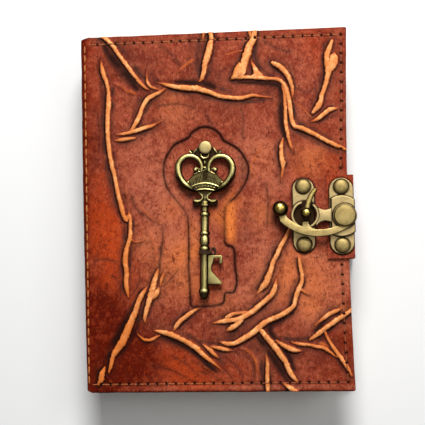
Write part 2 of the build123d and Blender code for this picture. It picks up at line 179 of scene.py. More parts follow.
def hide_finish(name):
    """Antiqued red-brown hide: worn tan crests, near-black dye beside them with painted shade, painted
    shadows from the halo mask, clouds and grain between.
    """
    finish = Finish(name, Specular_IOR_Level=0.02)
    crest = finish.mask("crest")
    dye_and_shade = finish.mask("dye_and_shade")
    halo = finish.mask("halo")
    glow = finish.mask("glow")
    dusk = finish.mask("dusk")
    pale = finish.mask("pale")
    ember = finish.math("MAXIMUM", finish.mask("ember"), dusk * 0.8)
    clouds = finish.noise(75, 6, 0.62, twist=0.6)
    patches = finish.noise(330, 8, 0.68, twist=0.4)
    grain = finish.noise(2100, 4, 0.6)
    brushed = finish.noise(230, 7, 0.72, finish.stretched((1.3, 0.8, 1.0)), 1.2)
    flecks = finish.noise(980, 5, 0.7, finish.stretched((1.25, 0.7, 1.0)), 0.6)
    creases = finish.between(finish.cells(170, "DISTANCE_TO_EDGE"), 0.035, 0.0)
    creases = creases * finish.between(finish.noise(110, 3), 0.54, 0.64)

    base = finish.mix(finish.between(clouds, 0.36, 0.64), DEEP_RED, MID_RED)
    base = finish.mix(finish.between(patches, 0.46, 0.7) * 0.75, base, WARM_RED)
    base = finish.mix(pale * finish.between(patches + clouds * 0.5, 0.45, 0.95), base, PALE_RED)
    base = finish.mix(ember * (1.25 - patches * 0.6), base, EMBER_RED)
    base = finish.mix(glow * finish.between(clouds + patches, 0.6, 1.05), base, GLOW_ORANGE)
    streaks = finish.between(brushed + patches, 0.88, 1.16)
    base = finish.mix(dusk * (1.2 - streaks * 0.5), base, OXBLOOD)
    light = finish.mix(finish.math("MAXIMUM", ember, dusk), PALE_RED, EMBER_GLOW)
    base = finish.mix(finish.between(brushed, 0.5, 0.28) * 0.85, base, DARK_RED)
    base = finish.mix(creases * 0.3, base, DARK_RED)
    base = finish.mix(finish.between(flecks, 0.49, 0.33) * 0.8, base, DARK_RED)
    base = finish.mix(finish.between(flecks, 0.53, 0.71) * (0.85 - dusk * 0.6), base, light)
    # The halo mask holds dark dye and painted shadow
    shadow = finish.mix(dusk, HALO_GREY, DYE_AND_SHADE_BLACK)
    base = finish.mix(halo * (0.5 + patches * 0.85), base, shadow)
    tan = finish.mix(finish.between(crest + patches * 0.8, 0.7, 1.4), BURNT_ORANGE, PALE_TAN)
    tan = finish.mix(finish.between(patches + crest * 0.3, 0.72, 0.95), tan, RUBBED_TAN)
    tan = finish.mix(ember * 0.9, tan, EMBER_TAN)
    base = finish.mix(finish.between(crest + patches * 0.6, 0.5, 0.78), base, tan)
    # Black dye, which also holds painted shade: on the wrinkles' shade side, in the stitch holes and the
    # keyhole's groove, round the catch plate and on the strap's tab
    base = finish.mix(dye_and_shade, base, DYE_AND_SHADE_BLACK)
    base = finish.mix(finish.between(grain, 0.55, 0.8) * 0.35, base, DARK_RED)

    pores = finish.cells(1500)
    relief = finish.bump(grain * 0.5 + pores * 0.6, 0.00012, 0.55)
    rough = (patches + brushed * 0.7 + flecks * 0.5 - 1.1) * (1 - crest * 0.6)
    relief = finish.bump(rough - creases * 0.8, 0.0004, 0.6, relief)
    shine = 0.36 + patches * 0.22 + dye_and_shade * 0.2 - crest * 0.04
    finish.surface(Base_Color=base, Roughness=shine, Normal=relief)
    return finish


def thread_finish(name, light, dark):
    """Waxed thread with its twist showing across each stitch."""
    finish = Finish(name, Roughness=0.6, Specular_IOR_Level=0.15)
    twist = finish.add(
        "ShaderNodeTexWave",
        {"bands_direction": "DIAGONAL"},
        {"Vector": finish.place(), "Scale": 900.0, "Distortion": 1.0},
        "Fac",
    )
    wear = finish.noise(500, 4)
    colour = finish.mix(finish.between(wear + twist * 0.4, 0.45, 0.95), dark, light)
    finish.surface(Base_Color=colour, Normal=finish.bump(twist, 0.0002, 0.6))
    return finish


def metal_finish(name, dark, mid, bright, rough, flank=(0.45, 0.75), low=None, high=None):
    """Antiqued cast metal with painted shade: black on its steep flanks and, given heights, towards its
    foot, brightest where it faces up as painted light, and black where its painted-shade mask says.
    """
    finish = Finish(name, Metallic=1.0)
    patina = finish.noise(260, 7, 0.65, twist=0.3)
    pits = finish.noise(1500, 4, 0.6)
    colour = finish.mix(finish.between(patina, 0.35, 0.62), dark, mid)
    colour = finish.mix(finish.between(pits, 0.45, 0.75) * 0.5, colour, bright)
    # Painted shade: darker towards the piece's foot, below the given heights in millimetres
    if low is not None:
        height = finish.add("ShaderNodeSeparateXYZ", None, {0: finish.place()}, "Z")
        colour = finish.mix(finish.between(height, high * MM, low * MM), colour, PAINTED_SHADE_BLACK)
    # Painted shade: surfaces that lean away from facing up turn black, as if unlit
    facing_up = finish.mask("facing_up")
    steep = finish.between(facing_up + pits * 0.1, flank[1] + 0.05, flank[0] + 0.05)
    colour = finish.mix(steep, colour, PAINTED_SHADE_BLACK)
    # Painted shadow and shade from the piece's own mask; on the key it also greys the bit
    colour = finish.mix(finish.mask("painted_shade_and_tone"), colour, PAINTED_SHADOW_BLACK)
    relief = finish.bump(pits + patina, 0.0001, 0.45)
    finish.surface(Base_Color=colour, Roughness=rough + patina * 0.25, Normal=relief)
    return finish


def paper_finish(name, light, dark, speck):
    """Handmade paper: soft clouds, short fibres and a few specks."""
    finish = Finish(name, Roughness=0.9, Specular_IOR_Level=0.15)
    clouds = finish.noise(90, 5, 0.6)
    fibres = finish.noise(700, 6, 0.7, finish.stretched((1.0, 0.3, 1.0)), 1.5)
    specks = finish.between(finish.cells(260), 0.09, 0.03)
    colour = finish.mix(finish.between(clouds + fibres * 0.6, 0.6, 1.0), dark, light)
    colour = finish.mix(specks * 0.5, colour, speck)
    finish.surface(Base_Color=colour, Normal=finish.bump(fibres, 0.0001, 0.5))
    return finish


def board_finish(name):
    """Dyed edge of the pasted cover board."""
    finish = Finish(name, Roughness=0.75)
    layers = finish.noise(500, 5, 0.6, finish.stretched((0.2, 0.2, 6.0)))
    colour = finish.mix(finish.between(layers, 0.4, 0.65), BOARD_DARK, BOARD_RED)
    finish.surface(Base_Color=colour, Normal=finish.bump(layers, 0.0001, 0.5))
    return finish


# Colours of the hide
DEEP_RED = (0.17, 0.0225, 0.0105)
MID_RED = (0.262, 0.0505, 0.0235)
WARM_RED = (0.385, 0.096, 0.046)
PALE_RED = (0.425, 0.12, 0.065)
DARK_RED = (0.08, 0.01, 0.005)
EMBER_RED = (0.35, 0.0395, 0.0075)
EMBER_GLOW = (0.46, 0.085, 0.018)
GLOW_ORANGE = (0.66, 0.17, 0.034)
OXBLOOD = (0.08, 0.0045, 0.001)
# Dark grey of the dye and painted shadows round the wrinkles
HALO_GREY = (0.036, 0.0155, 0.0115)
BURNT_ORANGE = (0.4, 0.08, 0.018)
PALE_TAN = (0.6, 0.21, 0.064)
RUBBED_TAN = (0.84, 0.38, 0.15)
EMBER_TAN = (0.53, 0.125, 0.016)
DYE_AND_SHADE_BLACK = (0.012, 0.004, 0.003)
# Colours of the boards' edges
BOARD_DARK = (0.07, 0.02, 0.012)
BOARD_RED = (0.17, 0.06, 0.03)
# Painted shade on the metal: black for its flanks and low parts, black for its painted shadows, and how far
# a plate's edge may lean before painted shade turns it black
PAINTED_SHADE_BLACK = (0.026, 0.015, 0.006)
PAINTED_SHADOW_BLACK = (0.028, 0.015, 0.007)
PLATE_FLANK = (0.72, 0.96)

HIDE = hide_finish("antiqued_hide")
STITCH_THREAD = thread_finish("tan_thread", (0.44, 0.14, 0.045), (0.18, 0.045, 0.014))
FOLD_THREAD = thread_finish("orange_thread", (0.5, 0.18, 0.045), (0.24, 0.07, 0.016))
RED_THREAD = thread_finish("red_thread", (0.36, 0.1, 0.038), (0.15, 0.032, 0.012))
SEWING_LINEN = thread_finish("sewing_linen", (0.72, 0.64, 0.47), (0.45, 0.36, 0.22))
DARK_CORD = thread_finish("dark_cord", (0.07, 0.035, 0.015), (0.02, 0.012, 0.008))
PLATE_BRONZE = metal_finish(
    "plate_bronze", (0.33, 0.235, 0.1), (0.45, 0.335, 0.15), (0.58, 0.45, 0.24), 0.4, PLATE_FLANK
)
LEVER_BRONZE = metal_finish(
    "lever_bronze", (0.38, 0.27, 0.095), (0.52, 0.385, 0.15), (0.7, 0.55, 0.26), 0.4, PLATE_FLANK
)
DOME_BRONZE = metal_finish(
    "dome_bronze", (0.27, 0.195, 0.07), (0.39, 0.29, 0.11), (0.52, 0.4, 0.17), 0.5, (0.5, 0.86)
)
BALL_BRASS = metal_finish(
    "ball_brass", (0.4, 0.26, 0.04), (0.68, 0.49, 0.12), (0.95, 0.78, 0.32), 0.22, (0.7, 0.94)
)
HORN_BRASS = metal_finish(
    "horn_brass", (0.5, 0.36, 0.09), (0.7, 0.53, 0.18), (0.9, 0.74, 0.34), 0.4, (0.5, 0.85)
)
# The key is painted darker below 31 mm and black by 29.9 mm, as painted shade towards the leather
KEY_BRONZE = metal_finish(
    "key_bronze", (0.36, 0.29, 0.09), (0.55, 0.46, 0.17), (0.8, 0.7, 0.36), 0.3, (0.64, 0.88), 29.9, 31.0
)
RIVET_PALE = metal_finish(
    "rubbed_rivet", (0.35, 0.265, 0.105), (0.45, 0.35, 0.15), (0.56, 0.45, 0.22), 0.45, (0.5, 0.9)
)
STEEL = metal_finish("rivet_steel", (0.22, 0.21, 0.2), (0.36, 0.35, 0.33), (0.5, 0.48, 0.45), 0.32)
LEAF_PAPER = paper_finish("deckle_paper", (0.86, 0.79, 0.63), (0.7, 0.59, 0.41), (0.4, 0.27, 0.14))
LINING_PAPER = paper_finish("kraft_lining", (0.6, 0.45, 0.28), (0.46, 0.31, 0.17), (0.3, 0.18, 0.09))
EDGE_BOARD = board_finish("dyed_board")


def finish_piece(bm, name, finish, body=None, nodes=(), sharp=35.0):
    """Bring a shaped bmesh to metres and make it a piece that rides on its body."""
    bmesh.ops.recalc_face_normals(bm, faces=bm.faces)
    bmesh.ops.scale(bm, vec=(MM, MM, MM), verts=bm.verts)
    mesh = bpy.data.meshes.new(name)
    bm.to_mesh(mesh)
    bm.free()
    mesh.materials.append(finish.material)
    # How far each vertex faces up; the metal finishes paint shade on what leans away from up
    facing_up = mesh.attributes.new("facing_up", "FLOAT", "POINT")
    facing_up.data.foreach_set("value", [normal.vector.z for normal in mesh.vertex_normals])
    mesh.polygons.foreach_set("use_smooth", [True] * len(mesh.polygons))
    mesh.set_sharp_from_angle(angle=math.radians(sharp))
    piece = bpy.data.objects.new(name, mesh)
    bpy.context.scene.collection.objects.link(piece)
    if body:
        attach(piece, body)
    if nodes:
        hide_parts(*nodes)
    return piece


def set_masks(piece, masks):
    for name, values in masks.items():
        attribute = piece.data.attributes.new(name, "FLOAT", "POINT")
        attribute.data.foreach_set("value", values.astype(np.float32))


# Raised wrinkles of the front hide, read off the photograph: pixel, pixel, width in pixels
WRINKLES = [
    [(102, 35.6, 4.6), (108.8, 41.5, 4.3), (113.1, 46.3, 4.3), (117.8, 53, 4.3), (123.6, 61.1, 4.3),
     (129.3, 68.8, 4.3), (135.1, 76.5, 3.8), (139.9, 82.7, 3.3), (145.6, 87.9, 2.9),
     (149.4, 89.9, 1.4)],
    [(146.6, 69.8, 1), (147, 77.4, 2), (148, 83.2, 3.3), (151.3, 87, 2.9), (158, 89.4, 1.9),
     (161, 90.3, 1)],
    [(165.2, 88.5, 1.6), (160, 92.2, 3.3), (153.3, 95.6, 4.3), (147.5, 99.4, 4.8), (143.7, 105.2, 4.3),
     (141.3, 110.9, 4.3), (138.9, 117.6, 4.8), (136, 123.3, 4.8), (132.2, 129.1, 3.3),
     (129.3, 132, 1.6)],
    [(116.5, 134.8, 1.2), (123.6, 133.9, 3.3), (131.2, 132.4, 3.8), (138.9, 130, 4.3),
     (145.6, 127.7, 4.3), (151.3, 126.2, 3.3), (157.1, 123.3, 1.9), (161.9, 120.5, 0.8)],
    [(114.5, 140.6, 1.2), (119.8, 140.1, 3.3), (127.4, 139.1, 3.8), (134.6, 138.1, 2.4)],
    [(156.1, 82.4, 0.8), (161.9, 83.6, 2.4), (170.5, 86, 4.3), (180, 87.5, 5.5), (189.6, 88.4, 6),
     (197.3, 88.6, 6.4), (204, 90.8, 5.6), (211.6, 93.2, 4.8), (219.3, 96.1, 4.3), (226, 97.2, 4.3),
     (234.4, 98, 4.3), (241.1, 98, 4.3), (247.8, 96.6, 3.8), (253.5, 95.3, 3.3), (260.2, 96.4, 2.4),
     (267.8, 97, 1.9), (272.2, 97.5, 0.8)],
    [(209.6, 31, 4.6), (211.2, 37, 4.8), (210.2, 44.9, 6), (208.8, 51.6, 7), (206.8, 58.3, 6.8),
     (204.9, 65, 5.6), (204, 71.7, 5), (202.1, 78.4, 4.4), (199.2, 81.6, 1.6)],
    [(204, 31.4, 3.2), (203, 38.6, 2)],
    [(101.1, 60.6, 1.2), (102.1, 67.8, 3.8), (104, 75.5, 4.8), (106.4, 81.2, 4.3), (108.3, 88.9, 3.8),
     (108.8, 96.6, 4.3), (108.8, 104.2, 5.6), (108.3, 111.9, 5.2), (107.8, 120.5, 4.8),
     (107.8, 130, 4.8), (108.3, 139.2, 4.6), (109.2, 148.5, 4.6), (110.6, 157.7, 4.6),
     (112.4, 167, 4.6), (114.8, 176.2, 4.2), (116.6, 185.5, 4.2), (118.4, 194.7, 4.6),
     (120.8, 204, 4.6), (123.1, 213.2, 4.8), (126.6, 220.2, 2)],
    [(128.6, 212, 1.6), (130.5, 218.7, 3.5), (130.5, 226.1, 3.7), (130.5, 231.7, 4.2),
     (130, 238.1, 4.4), (128.6, 243.7, 4.2), (126.8, 249.2, 4.6), (125.9, 254.8, 5.4),
     (125.4, 262.2, 5.4), (126.3, 268.6, 5), (126.8, 275, 4.8), (126.2, 282, 4.8), (127.2, 289.7, 4.2),
     (128.4, 297, 1.6)],
    [(131.4, 239.5, 2), (136, 242.3, 1.6), (143.4, 240.4, 0.8)],
    [(254.6, 29.5, 5.2), (253.5, 39.1, 6.4), (249.7, 45.8, 7.4), (247.8, 51.6, 7.8), (245.8, 58.3, 8.2),
     (243.9, 65, 7.4), (243, 71.7, 6.4), (242, 76.8, 4.5)],
    [(239.6, 63.6, 3), (236.3, 69.8, 4.4), (233.6, 72.6, 2)],
    [(229.8, 79.5, 0.8), (237.2, 77.9, 3.3), (244.9, 77.4, 3.8), (252.5, 77.4, 3.8), (261.1, 77.9, 4.3),
     (268.8, 78.6, 3.8), (275.5, 78.9, 3.3), (281.2, 81.2, 3.8), (285.1, 86, 4.3), (287.3, 92.7, 4.6),
     (288.9, 99.4, 4.4), (289.9, 106.1, 4.6), (290.8, 113.8, 4.4), (292.2, 121.4, 4.3),
     (294.9, 126.2, 4.3), (301.3, 128.1, 4.8), (308, 131, 4.8), (315.7, 134.8, 4.3),
     (323.3, 139.1, 4.3), (331, 143, 4.3), (338.7, 146.3, 3.8), (346, 149.5, 2.4)],
    [(251.1, 60.5, 1.4), (253.8, 67, 3.6), (257.5, 73, 5.5), (262.5, 76.6, 3)],
    [(272.6, 63, 3.6), (277.4, 65.5, 5.5), (282.2, 68.8, 5.6), (287, 74.5, 5.2), (290.3, 81.2, 4.3),
     (292.2, 87.9, 3.6), (292.7, 93.7, 2.7), (292.2, 98.2, 1)],
    [(282.4, 86, 2.4), (284.4, 94.6, 3), (285, 102.3, 3.3), (285.4, 110, 3.6), (285.6, 117.6, 3.6),
     (286, 124.3, 4.1), (287.5, 132, 3.8), (288.9, 138.7, 3.3), (290.8, 145.4, 2.9), (293.2, 151.6, 1)],
    [(283.2, 138, 1.4), (281.5, 144.7, 3.8), (281.3, 151.4, 4.2), (281.5, 157.1, 4.6),
     (282.9, 162.8, 5), (282.9, 168.6, 3.3), (281.9, 176.2, 2.2), (281.5, 182, 0.8)],
    [(332, 40.6, 2.8), (329.1, 48.7, 5), (326.7, 56.4, 5.4), (327.2, 63.1, 6), (328.1, 69.8, 6),
     (327.7, 75.5, 5.4), (326.2, 82.2, 4.8), (323.8, 89.9, 4.3), (321.4, 96.6, 4.6),
     (320.5, 102.3, 5.4), (317.6, 107.1, 6), (312.8, 112.6, 3)],
    [(334.2, 54.4, 3.4), (335.4, 59.5, 5.6), (333.4, 66.5, 5), (329.6, 72.4, 2.4)],
    [(311.4, 121.6, 1.2), (317.6, 119, 3.8), (324.3, 113.8, 4.6), (330, 109.5, 4.6),
     (337.2, 108.3, 1.8)],
    [(147, 287.2, 1.6), (143.4, 292.5, 4.3), (140.1, 298.3, 5.2), (137.7, 305, 5.3),
     (134.8, 313.6, 5.7), (131.5, 321.2, 6.6), (128.6, 327.9, 7.4), (125.7, 334.6, 7.8),
     (122.8, 341.3, 7.8), (119, 347.1, 7.2), (115.2, 352.8, 5.6), (112.8, 357.6, 4.3),
     (111.4, 364.3, 4.1), (109, 372.4, 2)],
    [(105, 367, 1.8), (102.3, 373.9, 5.5), (101.4, 379.6, 5.8), (98.6, 384.4, 3)],
    [(158.6, 268.6, 1.8), (156.3, 275.3, 4.2), (154.4, 282, 5.5), (152.5, 289.7, 6.4),
     (150.6, 296.4, 6.4), (148.7, 303.1, 5.6), (146.8, 309.8, 4.8), (144.9, 317.4, 3.8),
     (145.3, 322.8, 1.4)],
    [(158.6, 288.6, 3), (156.3, 294.4, 5), (152.8, 299.2, 2)],
    [(164.7, 271.6, 1.6), (161.6, 279.1, 3.2), (160.4, 285.6, 1.6)],
    [(154.6, 330.6, 1.6), (161.1, 331.8, 4.2), (168.8, 333.7, 5.6), (176.4, 336.6, 5.6),
     (184.1, 340.4, 5.2), (190.8, 344.2, 5.6), (197.5, 349, 5.6), (203.2, 354.7, 4.7),
     (209, 359.5, 4.2), (214.7, 363.8, 2.9), (223, 371.4, 0.8)],
    [(137.6, 334, 1.2), (143.9, 339.4, 2.9), (150.6, 339.9, 3.2), (156.3, 337, 2.8), (160.4, 335, 1)],
    [(200, 307.4, 1.4), (192.7, 311.7, 3.8), (186, 316.5, 4.7), (180.3, 321.2, 4.8), (176.4, 326, 4.6),
     (174, 330.2, 2)],
    [(203.2, 344.7, 2), (209, 349, 4), (213.8, 353.8, 4), (219, 358.2, 1.2)],
    [(210, 346.4, 1.6), (218.5, 348, 4), (226.1, 349.5, 3.8), (233, 350.8, 1)],
    [(289.4, 229.6, 4), (284.3, 240, 4), (280.2, 247.1, 4.5), (277.1, 254.3, 4.6), (273.1, 262.4, 4.6),
     (271, 269.6, 5), (268.5, 276.7, 6.2), (265.9, 282.9, 6.6), (261.8, 288, 5), (257.4, 293.6, 1.6)],
    [(276.3, 278.6, 1.2), (275.1, 286.9, 4.6), (272, 294.1, 5.3), (265.9, 300.2, 5.4),
     (259.8, 305.3, 5.4), (252.7, 311.4, 5.6), (245.5, 315.7, 5.4), (237.5, 319.5, 5.1),
     (230.2, 320.4, 4.6), (222, 321.4, 4.4), (212, 323.4, 0.8)],
    [(249, 312, 3), (241, 312.8, 3.2), (233.6, 313.8, 3.6), (227, 317.4, 4)],
    [(241.4, 320.6, 4), (235.3, 325.7, 5.2), (230.2, 328.8, 4.8), (226.6, 331, 1.4)],
    [(299, 253, 2), (299.6, 262.4, 3.5), (301.1, 269.6, 3.9), (302.1, 276.7, 3.9), (301.6, 282.9, 4.2),
     (298.6, 289, 4.9), (296.5, 295.1, 4.6), (295, 301.2, 4.2), (293.3, 306.3, 4.6),
     (287.3, 311.4, 5.1), (280.2, 315.5, 5.1), (273.1, 318.6, 5.1), (265.9, 321.8, 5.4),
     (259.8, 326.7, 6.1), (252.7, 332.9, 6.1), (245.5, 337.4, 5.8), (239.4, 341, 5.1),
     (233.3, 343.6, 4.9), (226.1, 343.6, 4.2), (219.6, 341.6, 1.5)],
    [(301.6, 289.6, 3), (305, 292.4, 2.2), (309, 294.8, 0.8)],
    [(258.6, 327.4, 3.4), (263.9, 333.9, 5.1), (269, 340, 6), (275.1, 347.1, 6.2), (280.2, 354.3, 6),
     (285.3, 361.4, 5.4), (288.4, 368.6, 5.4), (292.4, 375.7, 4.9), (298.4, 383, 1.7)],
    [(284, 383.6, 2), (289.5, 387.4, 5), (296.5, 391.6, 4.6)],
    [(276.4, 340.4, 2.2), (283.3, 345.1, 4.5), (289.4, 348.2, 5.4), (295.5, 350.2, 4.8),
     (302.4, 350.8, 1.2)],
    [(291.4, 342.2, 1.8), (300.6, 344.1, 3.5), (308.8, 344.6, 3.2), (316.9, 346.6, 3.5),
     (323.1, 347.7, 3.5), (329.2, 351.2, 3.5), (337, 357.4, 1.2)],
    [(310.2, 339.4, 2.6), (316.9, 334.9, 4.5), (323.1, 329.8, 5), (330.2, 324.7, 5), (337.3, 319.6, 5),
     (344.5, 315, 4.5), (353, 308.8, 3.6)],
    [(315.3, 325.2, 1.2), (323.1, 318.6, 3.5), (330.2, 313.5, 4.4), (337.3, 310.4, 3.8),
     (342, 308.2, 1)],
    [(324.6, 330.6, 2.6), (328.2, 339, 3), (333.3, 347.1, 3.6), (338.4, 354.3, 4), (343.5, 361.4, 4),
     (348, 368.4, 3.8), (352, 376, 2)],
    [(266.2, 354.2, 1.2), (267.4, 362.4, 3.5), (267.4, 371.6, 4), (267.4, 380.8, 4.4), (268, 393, 4)],
    [(242, 64, 3), (239, 70, 8), (236.5, 75, 8), (233, 78, 4)],
    [(123.1, 213.2, 4.6), (126.4, 220.4, 3.6), (128.6, 215.4, 2.8), (130.2, 218.6, 3.4)],
    [(252, 63, 2), (255.6, 70, 5), (256, 74.5, 6), (253, 77, 4)],
    [(332.2, 56, 4), (332.6, 60, 7), (332, 64.5, 8), (330, 69, 7), (328, 75, 4)],
    [(249.2, 30.4, 2.8), (250.4, 35, 3.2), (252, 40.4, 2)],
]
# Low folds that only show as a warm streak
FAINT_WRINKLES = [
    [(198, 56.6, 2), (191.5, 61.1, 4), (184.8, 65.9, 3.6), (178.1, 71.7, 3), (169.5, 80.3, 1)],
    [(111.6, 82.4, 1.4), (119.8, 86, 3.4), (126.5, 90.3, 4), (133.2, 92.7, 4), (141.2, 94.8, 2)],
    [(145, 224.4, 1), (150.8, 236.3, 3.2), (154.5, 246.5, 3.2), (156.3, 259.4, 3), (157.3, 268.6, 2)],
    [(124.6, 182.6, 1), (127.7, 194.7, 3.2), (130.5, 209.5, 1.6)],
    [(303.2, 303.6, 1.2), (297.6, 310.4, 3), (293.2, 316.6, 1.4)],
    [(316.6, 342.8, 2), (324, 344.4, 4.4), (331.4, 348.6, 2)],
    [(316.6, 168.6, 1), (317.4, 176, 3.2), (317.8, 184, 1.4)],
    [(240.4, 121, 1), (243.6, 130.6, 2.6), (244.4, 138, 1)],
    [(213.6, 132.4, 1.6), (209.4, 121.8, 1.6), (205.4, 110.2, 0.8)],
    [(104.6, 374.4, 1), (110.8, 382.4, 3.6), (113.6, 386.6, 2)],
    [(240, 349, 2), (247, 350, 4), (254, 357, 4), (257.5, 370, 3.6), (257, 384, 2)],
    [(246, 360, 1), (250, 370, 3), (249, 383, 1.4)],
    [(196, 360, 1), (208, 369, 2.6), (217, 376, 1)],
    [(206, 376, 1), (213, 381, 2.6), (219, 386, 1)],
]
# Wrinkles of the back cover, in millimetres across, up and wide
BACK_WRINKLES = [
    [(-50, 88, 2.2), (-42, 74, 2.4), (-37, 62, 2.2), (-28, 52, 2.4), (-14, 48, 2.6), (2, 44, 2.4),
     (14, 46, 1.2)],
    [(-37, 62, 1.6), (-40, 50, 2.2), (-41, 36, 2.4), (-38, 20, 2.2), (-40, 4, 2), (-44, -8, 0.8)],
    [(20, 88, 2.4), (17, 74, 2.8), (12, 62, 3), (2, 44, 1.6)],
    [(12, 62, 1.4), (26, 56, 2.4), (38, 50, 2.2), (50, 40, 2), (63, 34, 1.6)],
    [(50, 40, 1.4), (46, 24, 2.2), (48, 8, 2), (44, -6, 0.8)],
    [(-60, -30, 1.4), (-48, -34, 2.4), (-36, -42, 2.8), (-22, -44, 2.6), (-10, -52, 2.6), (4, -56, 2.4),
     (18, -64, 2.2), (30, -66, 0.8)],
    [(-36, -42, 1.6), (-40, -56, 2.6), (-48, -68, 2.8), (-54, -82, 2.2)],
    [(-10, -52, 1.4), (-14, -66, 2.2), (-12, -78, 2), (-16, -88, 1.6)],
    [(63, -22, 1.6), (50, -28, 2.2), (40, -38, 2.4), (28, -42, 2.2), (16, -40, 0.8)],
    [(40, -38, 1.6), (44, -52, 2.4), (40, -66, 2.6), (46, -80, 2.2), (50, -88, 1.8)],
    [(44, -52, 1.2), (56, -58, 2), (63, -60, 1.6)],
    [(-62, 20, 1.4), (-54, 26, 2), (-41, 36, 1.4)],
    [(-20, 20, 0.8), (-8, 14, 1.6), (6, 16, 1.8), (20, 8, 0.8)],
]
# Wrinkles of the spine, in millimetres above the table, up the page and wide
SPINE_WRINKLES = [
    [(25, 70, 1.2), (20, 64, 2), (13, 61, 2.2), (6, 54, 1.8), (3, 50, 1)],
    [(20, 64, 1.2), (17, 52, 1.8), (18, 40, 1.6), (15, 30, 0.8)],
    [(25, -8, 1), (18, -14, 1.8), (12, -24, 2.2), (10, -36, 2), (4, -44, 1.2)],
    [(12, -24, 1.2), (6, -16, 1.8), (3, -8, 1.2)],
    [(25, -66, 1.2), (19, -70, 2), (12, -68, 2), (5, -74, 1.6)],
    [(24, 22, 0.8), (17, 14, 1.4), (12, 4, 0.8)],
]
# Pale scratches
SCRATCHES = [
    [(225.7, 54.6, 0.8), (235.3, 51.6, 0.9), (243, 50.1, 0.8)],
    [(293.2, 101.3, 0.9), (301.3, 107.1, 1), (310.9, 116.7, 0.8)],
    [(262.8, 143.6, 0.7), (255.4, 156.4, 0.9), (250, 167.4, 0.7)],
    [(249.6, 166, 0.7), (255.8, 178.6, 0.8)],
    [(138.8, 201.2, 0.7), (145.2, 211.3, 0.9), (153.6, 219.7, 1), (161.4, 223.8, 0.7)],
]
# Pressed outline of the keyhole panel
KEYHOLE = [
    (191.2, 305.5), (190, 289.7), (188.8, 265.5), (188.8, 241.2), (187.6, 217), (183.9, 209.7),
    (174.2, 197.6), (167, 187.9), (163.9, 174.5), (164.5, 161.2), (169.4, 151.5), (175.5, 144.2),
    (187.6, 138.2), (192.4, 132.1), (200.9, 127.3), (210.6, 127.9), (219.1, 133.3), (223.9, 140.6),
    (234.8, 146.7), (242.1, 153.9), (248.2, 166.1), (247, 178.2), (242.1, 187.9), (234.8, 197.6),
    (227.6, 203.6), (224.5, 212.1), (224.5, 229.1), (225.2, 243.6), (233.6, 248.5), (234.8, 265.5),
    (236.7, 281.2), (233.6, 292.1), (225.2, 293.3), (221.5, 304.2), (198.5, 306.7),
]
# Dark creases
CREASES = [
    [(162.4, 226.2, 1), (162.4, 245.6, 1.2), (160.5, 259.4, 1.2), (160, 270.5, 1)],
    [(205.4, 110.4, 0.8), (211.6, 124.3, 1), (218.3, 133.9, 0.8)],
    [(240.6, 108, 1), (243.4, 122, 1.4), (242.4, 138, 1)],
    [(131, 196, 1), (136.4, 209, 1.2), (147, 217, 1), (160, 224, 1)],
    [(318, 255.6, 1), (330, 257.6, 1.2), (346, 258.6, 1)],
    [(172, 356, 1), (186, 364, 1.2), (199, 376, 1)],
    [(235, 352, 1), (250, 360, 1.4), (254, 378, 1)],
    [(141, 338, 1), (136, 322, 1.4), (134, 316, 1)],
    [(192, 361, 1), (203, 368, 1.2), (213, 376, 1)],
    [(198, 371, 1), (210, 375, 1.2), (222, 380, 1)],
    [(214, 361, 1), (224, 369, 1.2), (232, 378, 1)],
    [(222, 356, 1), (234, 364, 1.2), (242, 375, 1)],
    [(153, 366, 1), (170, 370, 1), (186, 378, 1)],
    [(254, 362, 1), (254.4, 372, 1.4), (253, 383, 1)],
    [(262, 356, 1), (262.4, 370, 1.4), (262, 383, 1)],
    [(112, 92, 1), (113, 104, 1.2), (112, 118, 1)],
    [(97, 112, 1), (99, 130, 1.2), (99, 152, 1)],
    [(92, 262, 1), (104, 259, 1.2), (116, 262, 1)],
    [(112, 276, 1), (120, 284, 1.2), (121, 296, 1)],
    [(126, 300, 1), (134, 292, 1.2), (141, 280, 1)],
    [(266, 184, 1), (268, 204, 1.2), (267, 226, 1)],
    [(150, 292, 1), (166, 284, 1.2), (178, 270, 1)],
    [(158, 106, 1), (176, 104, 1.2), (194, 107, 1)],
    [(262, 40, 1), (276, 48, 1.2), (290, 52, 1)],
    [(296, 88, 1), (306, 92, 1.2), (316, 88, 1)],
    [(160, 46, 1), (172, 55, 1.2), (180, 66, 1)],
]
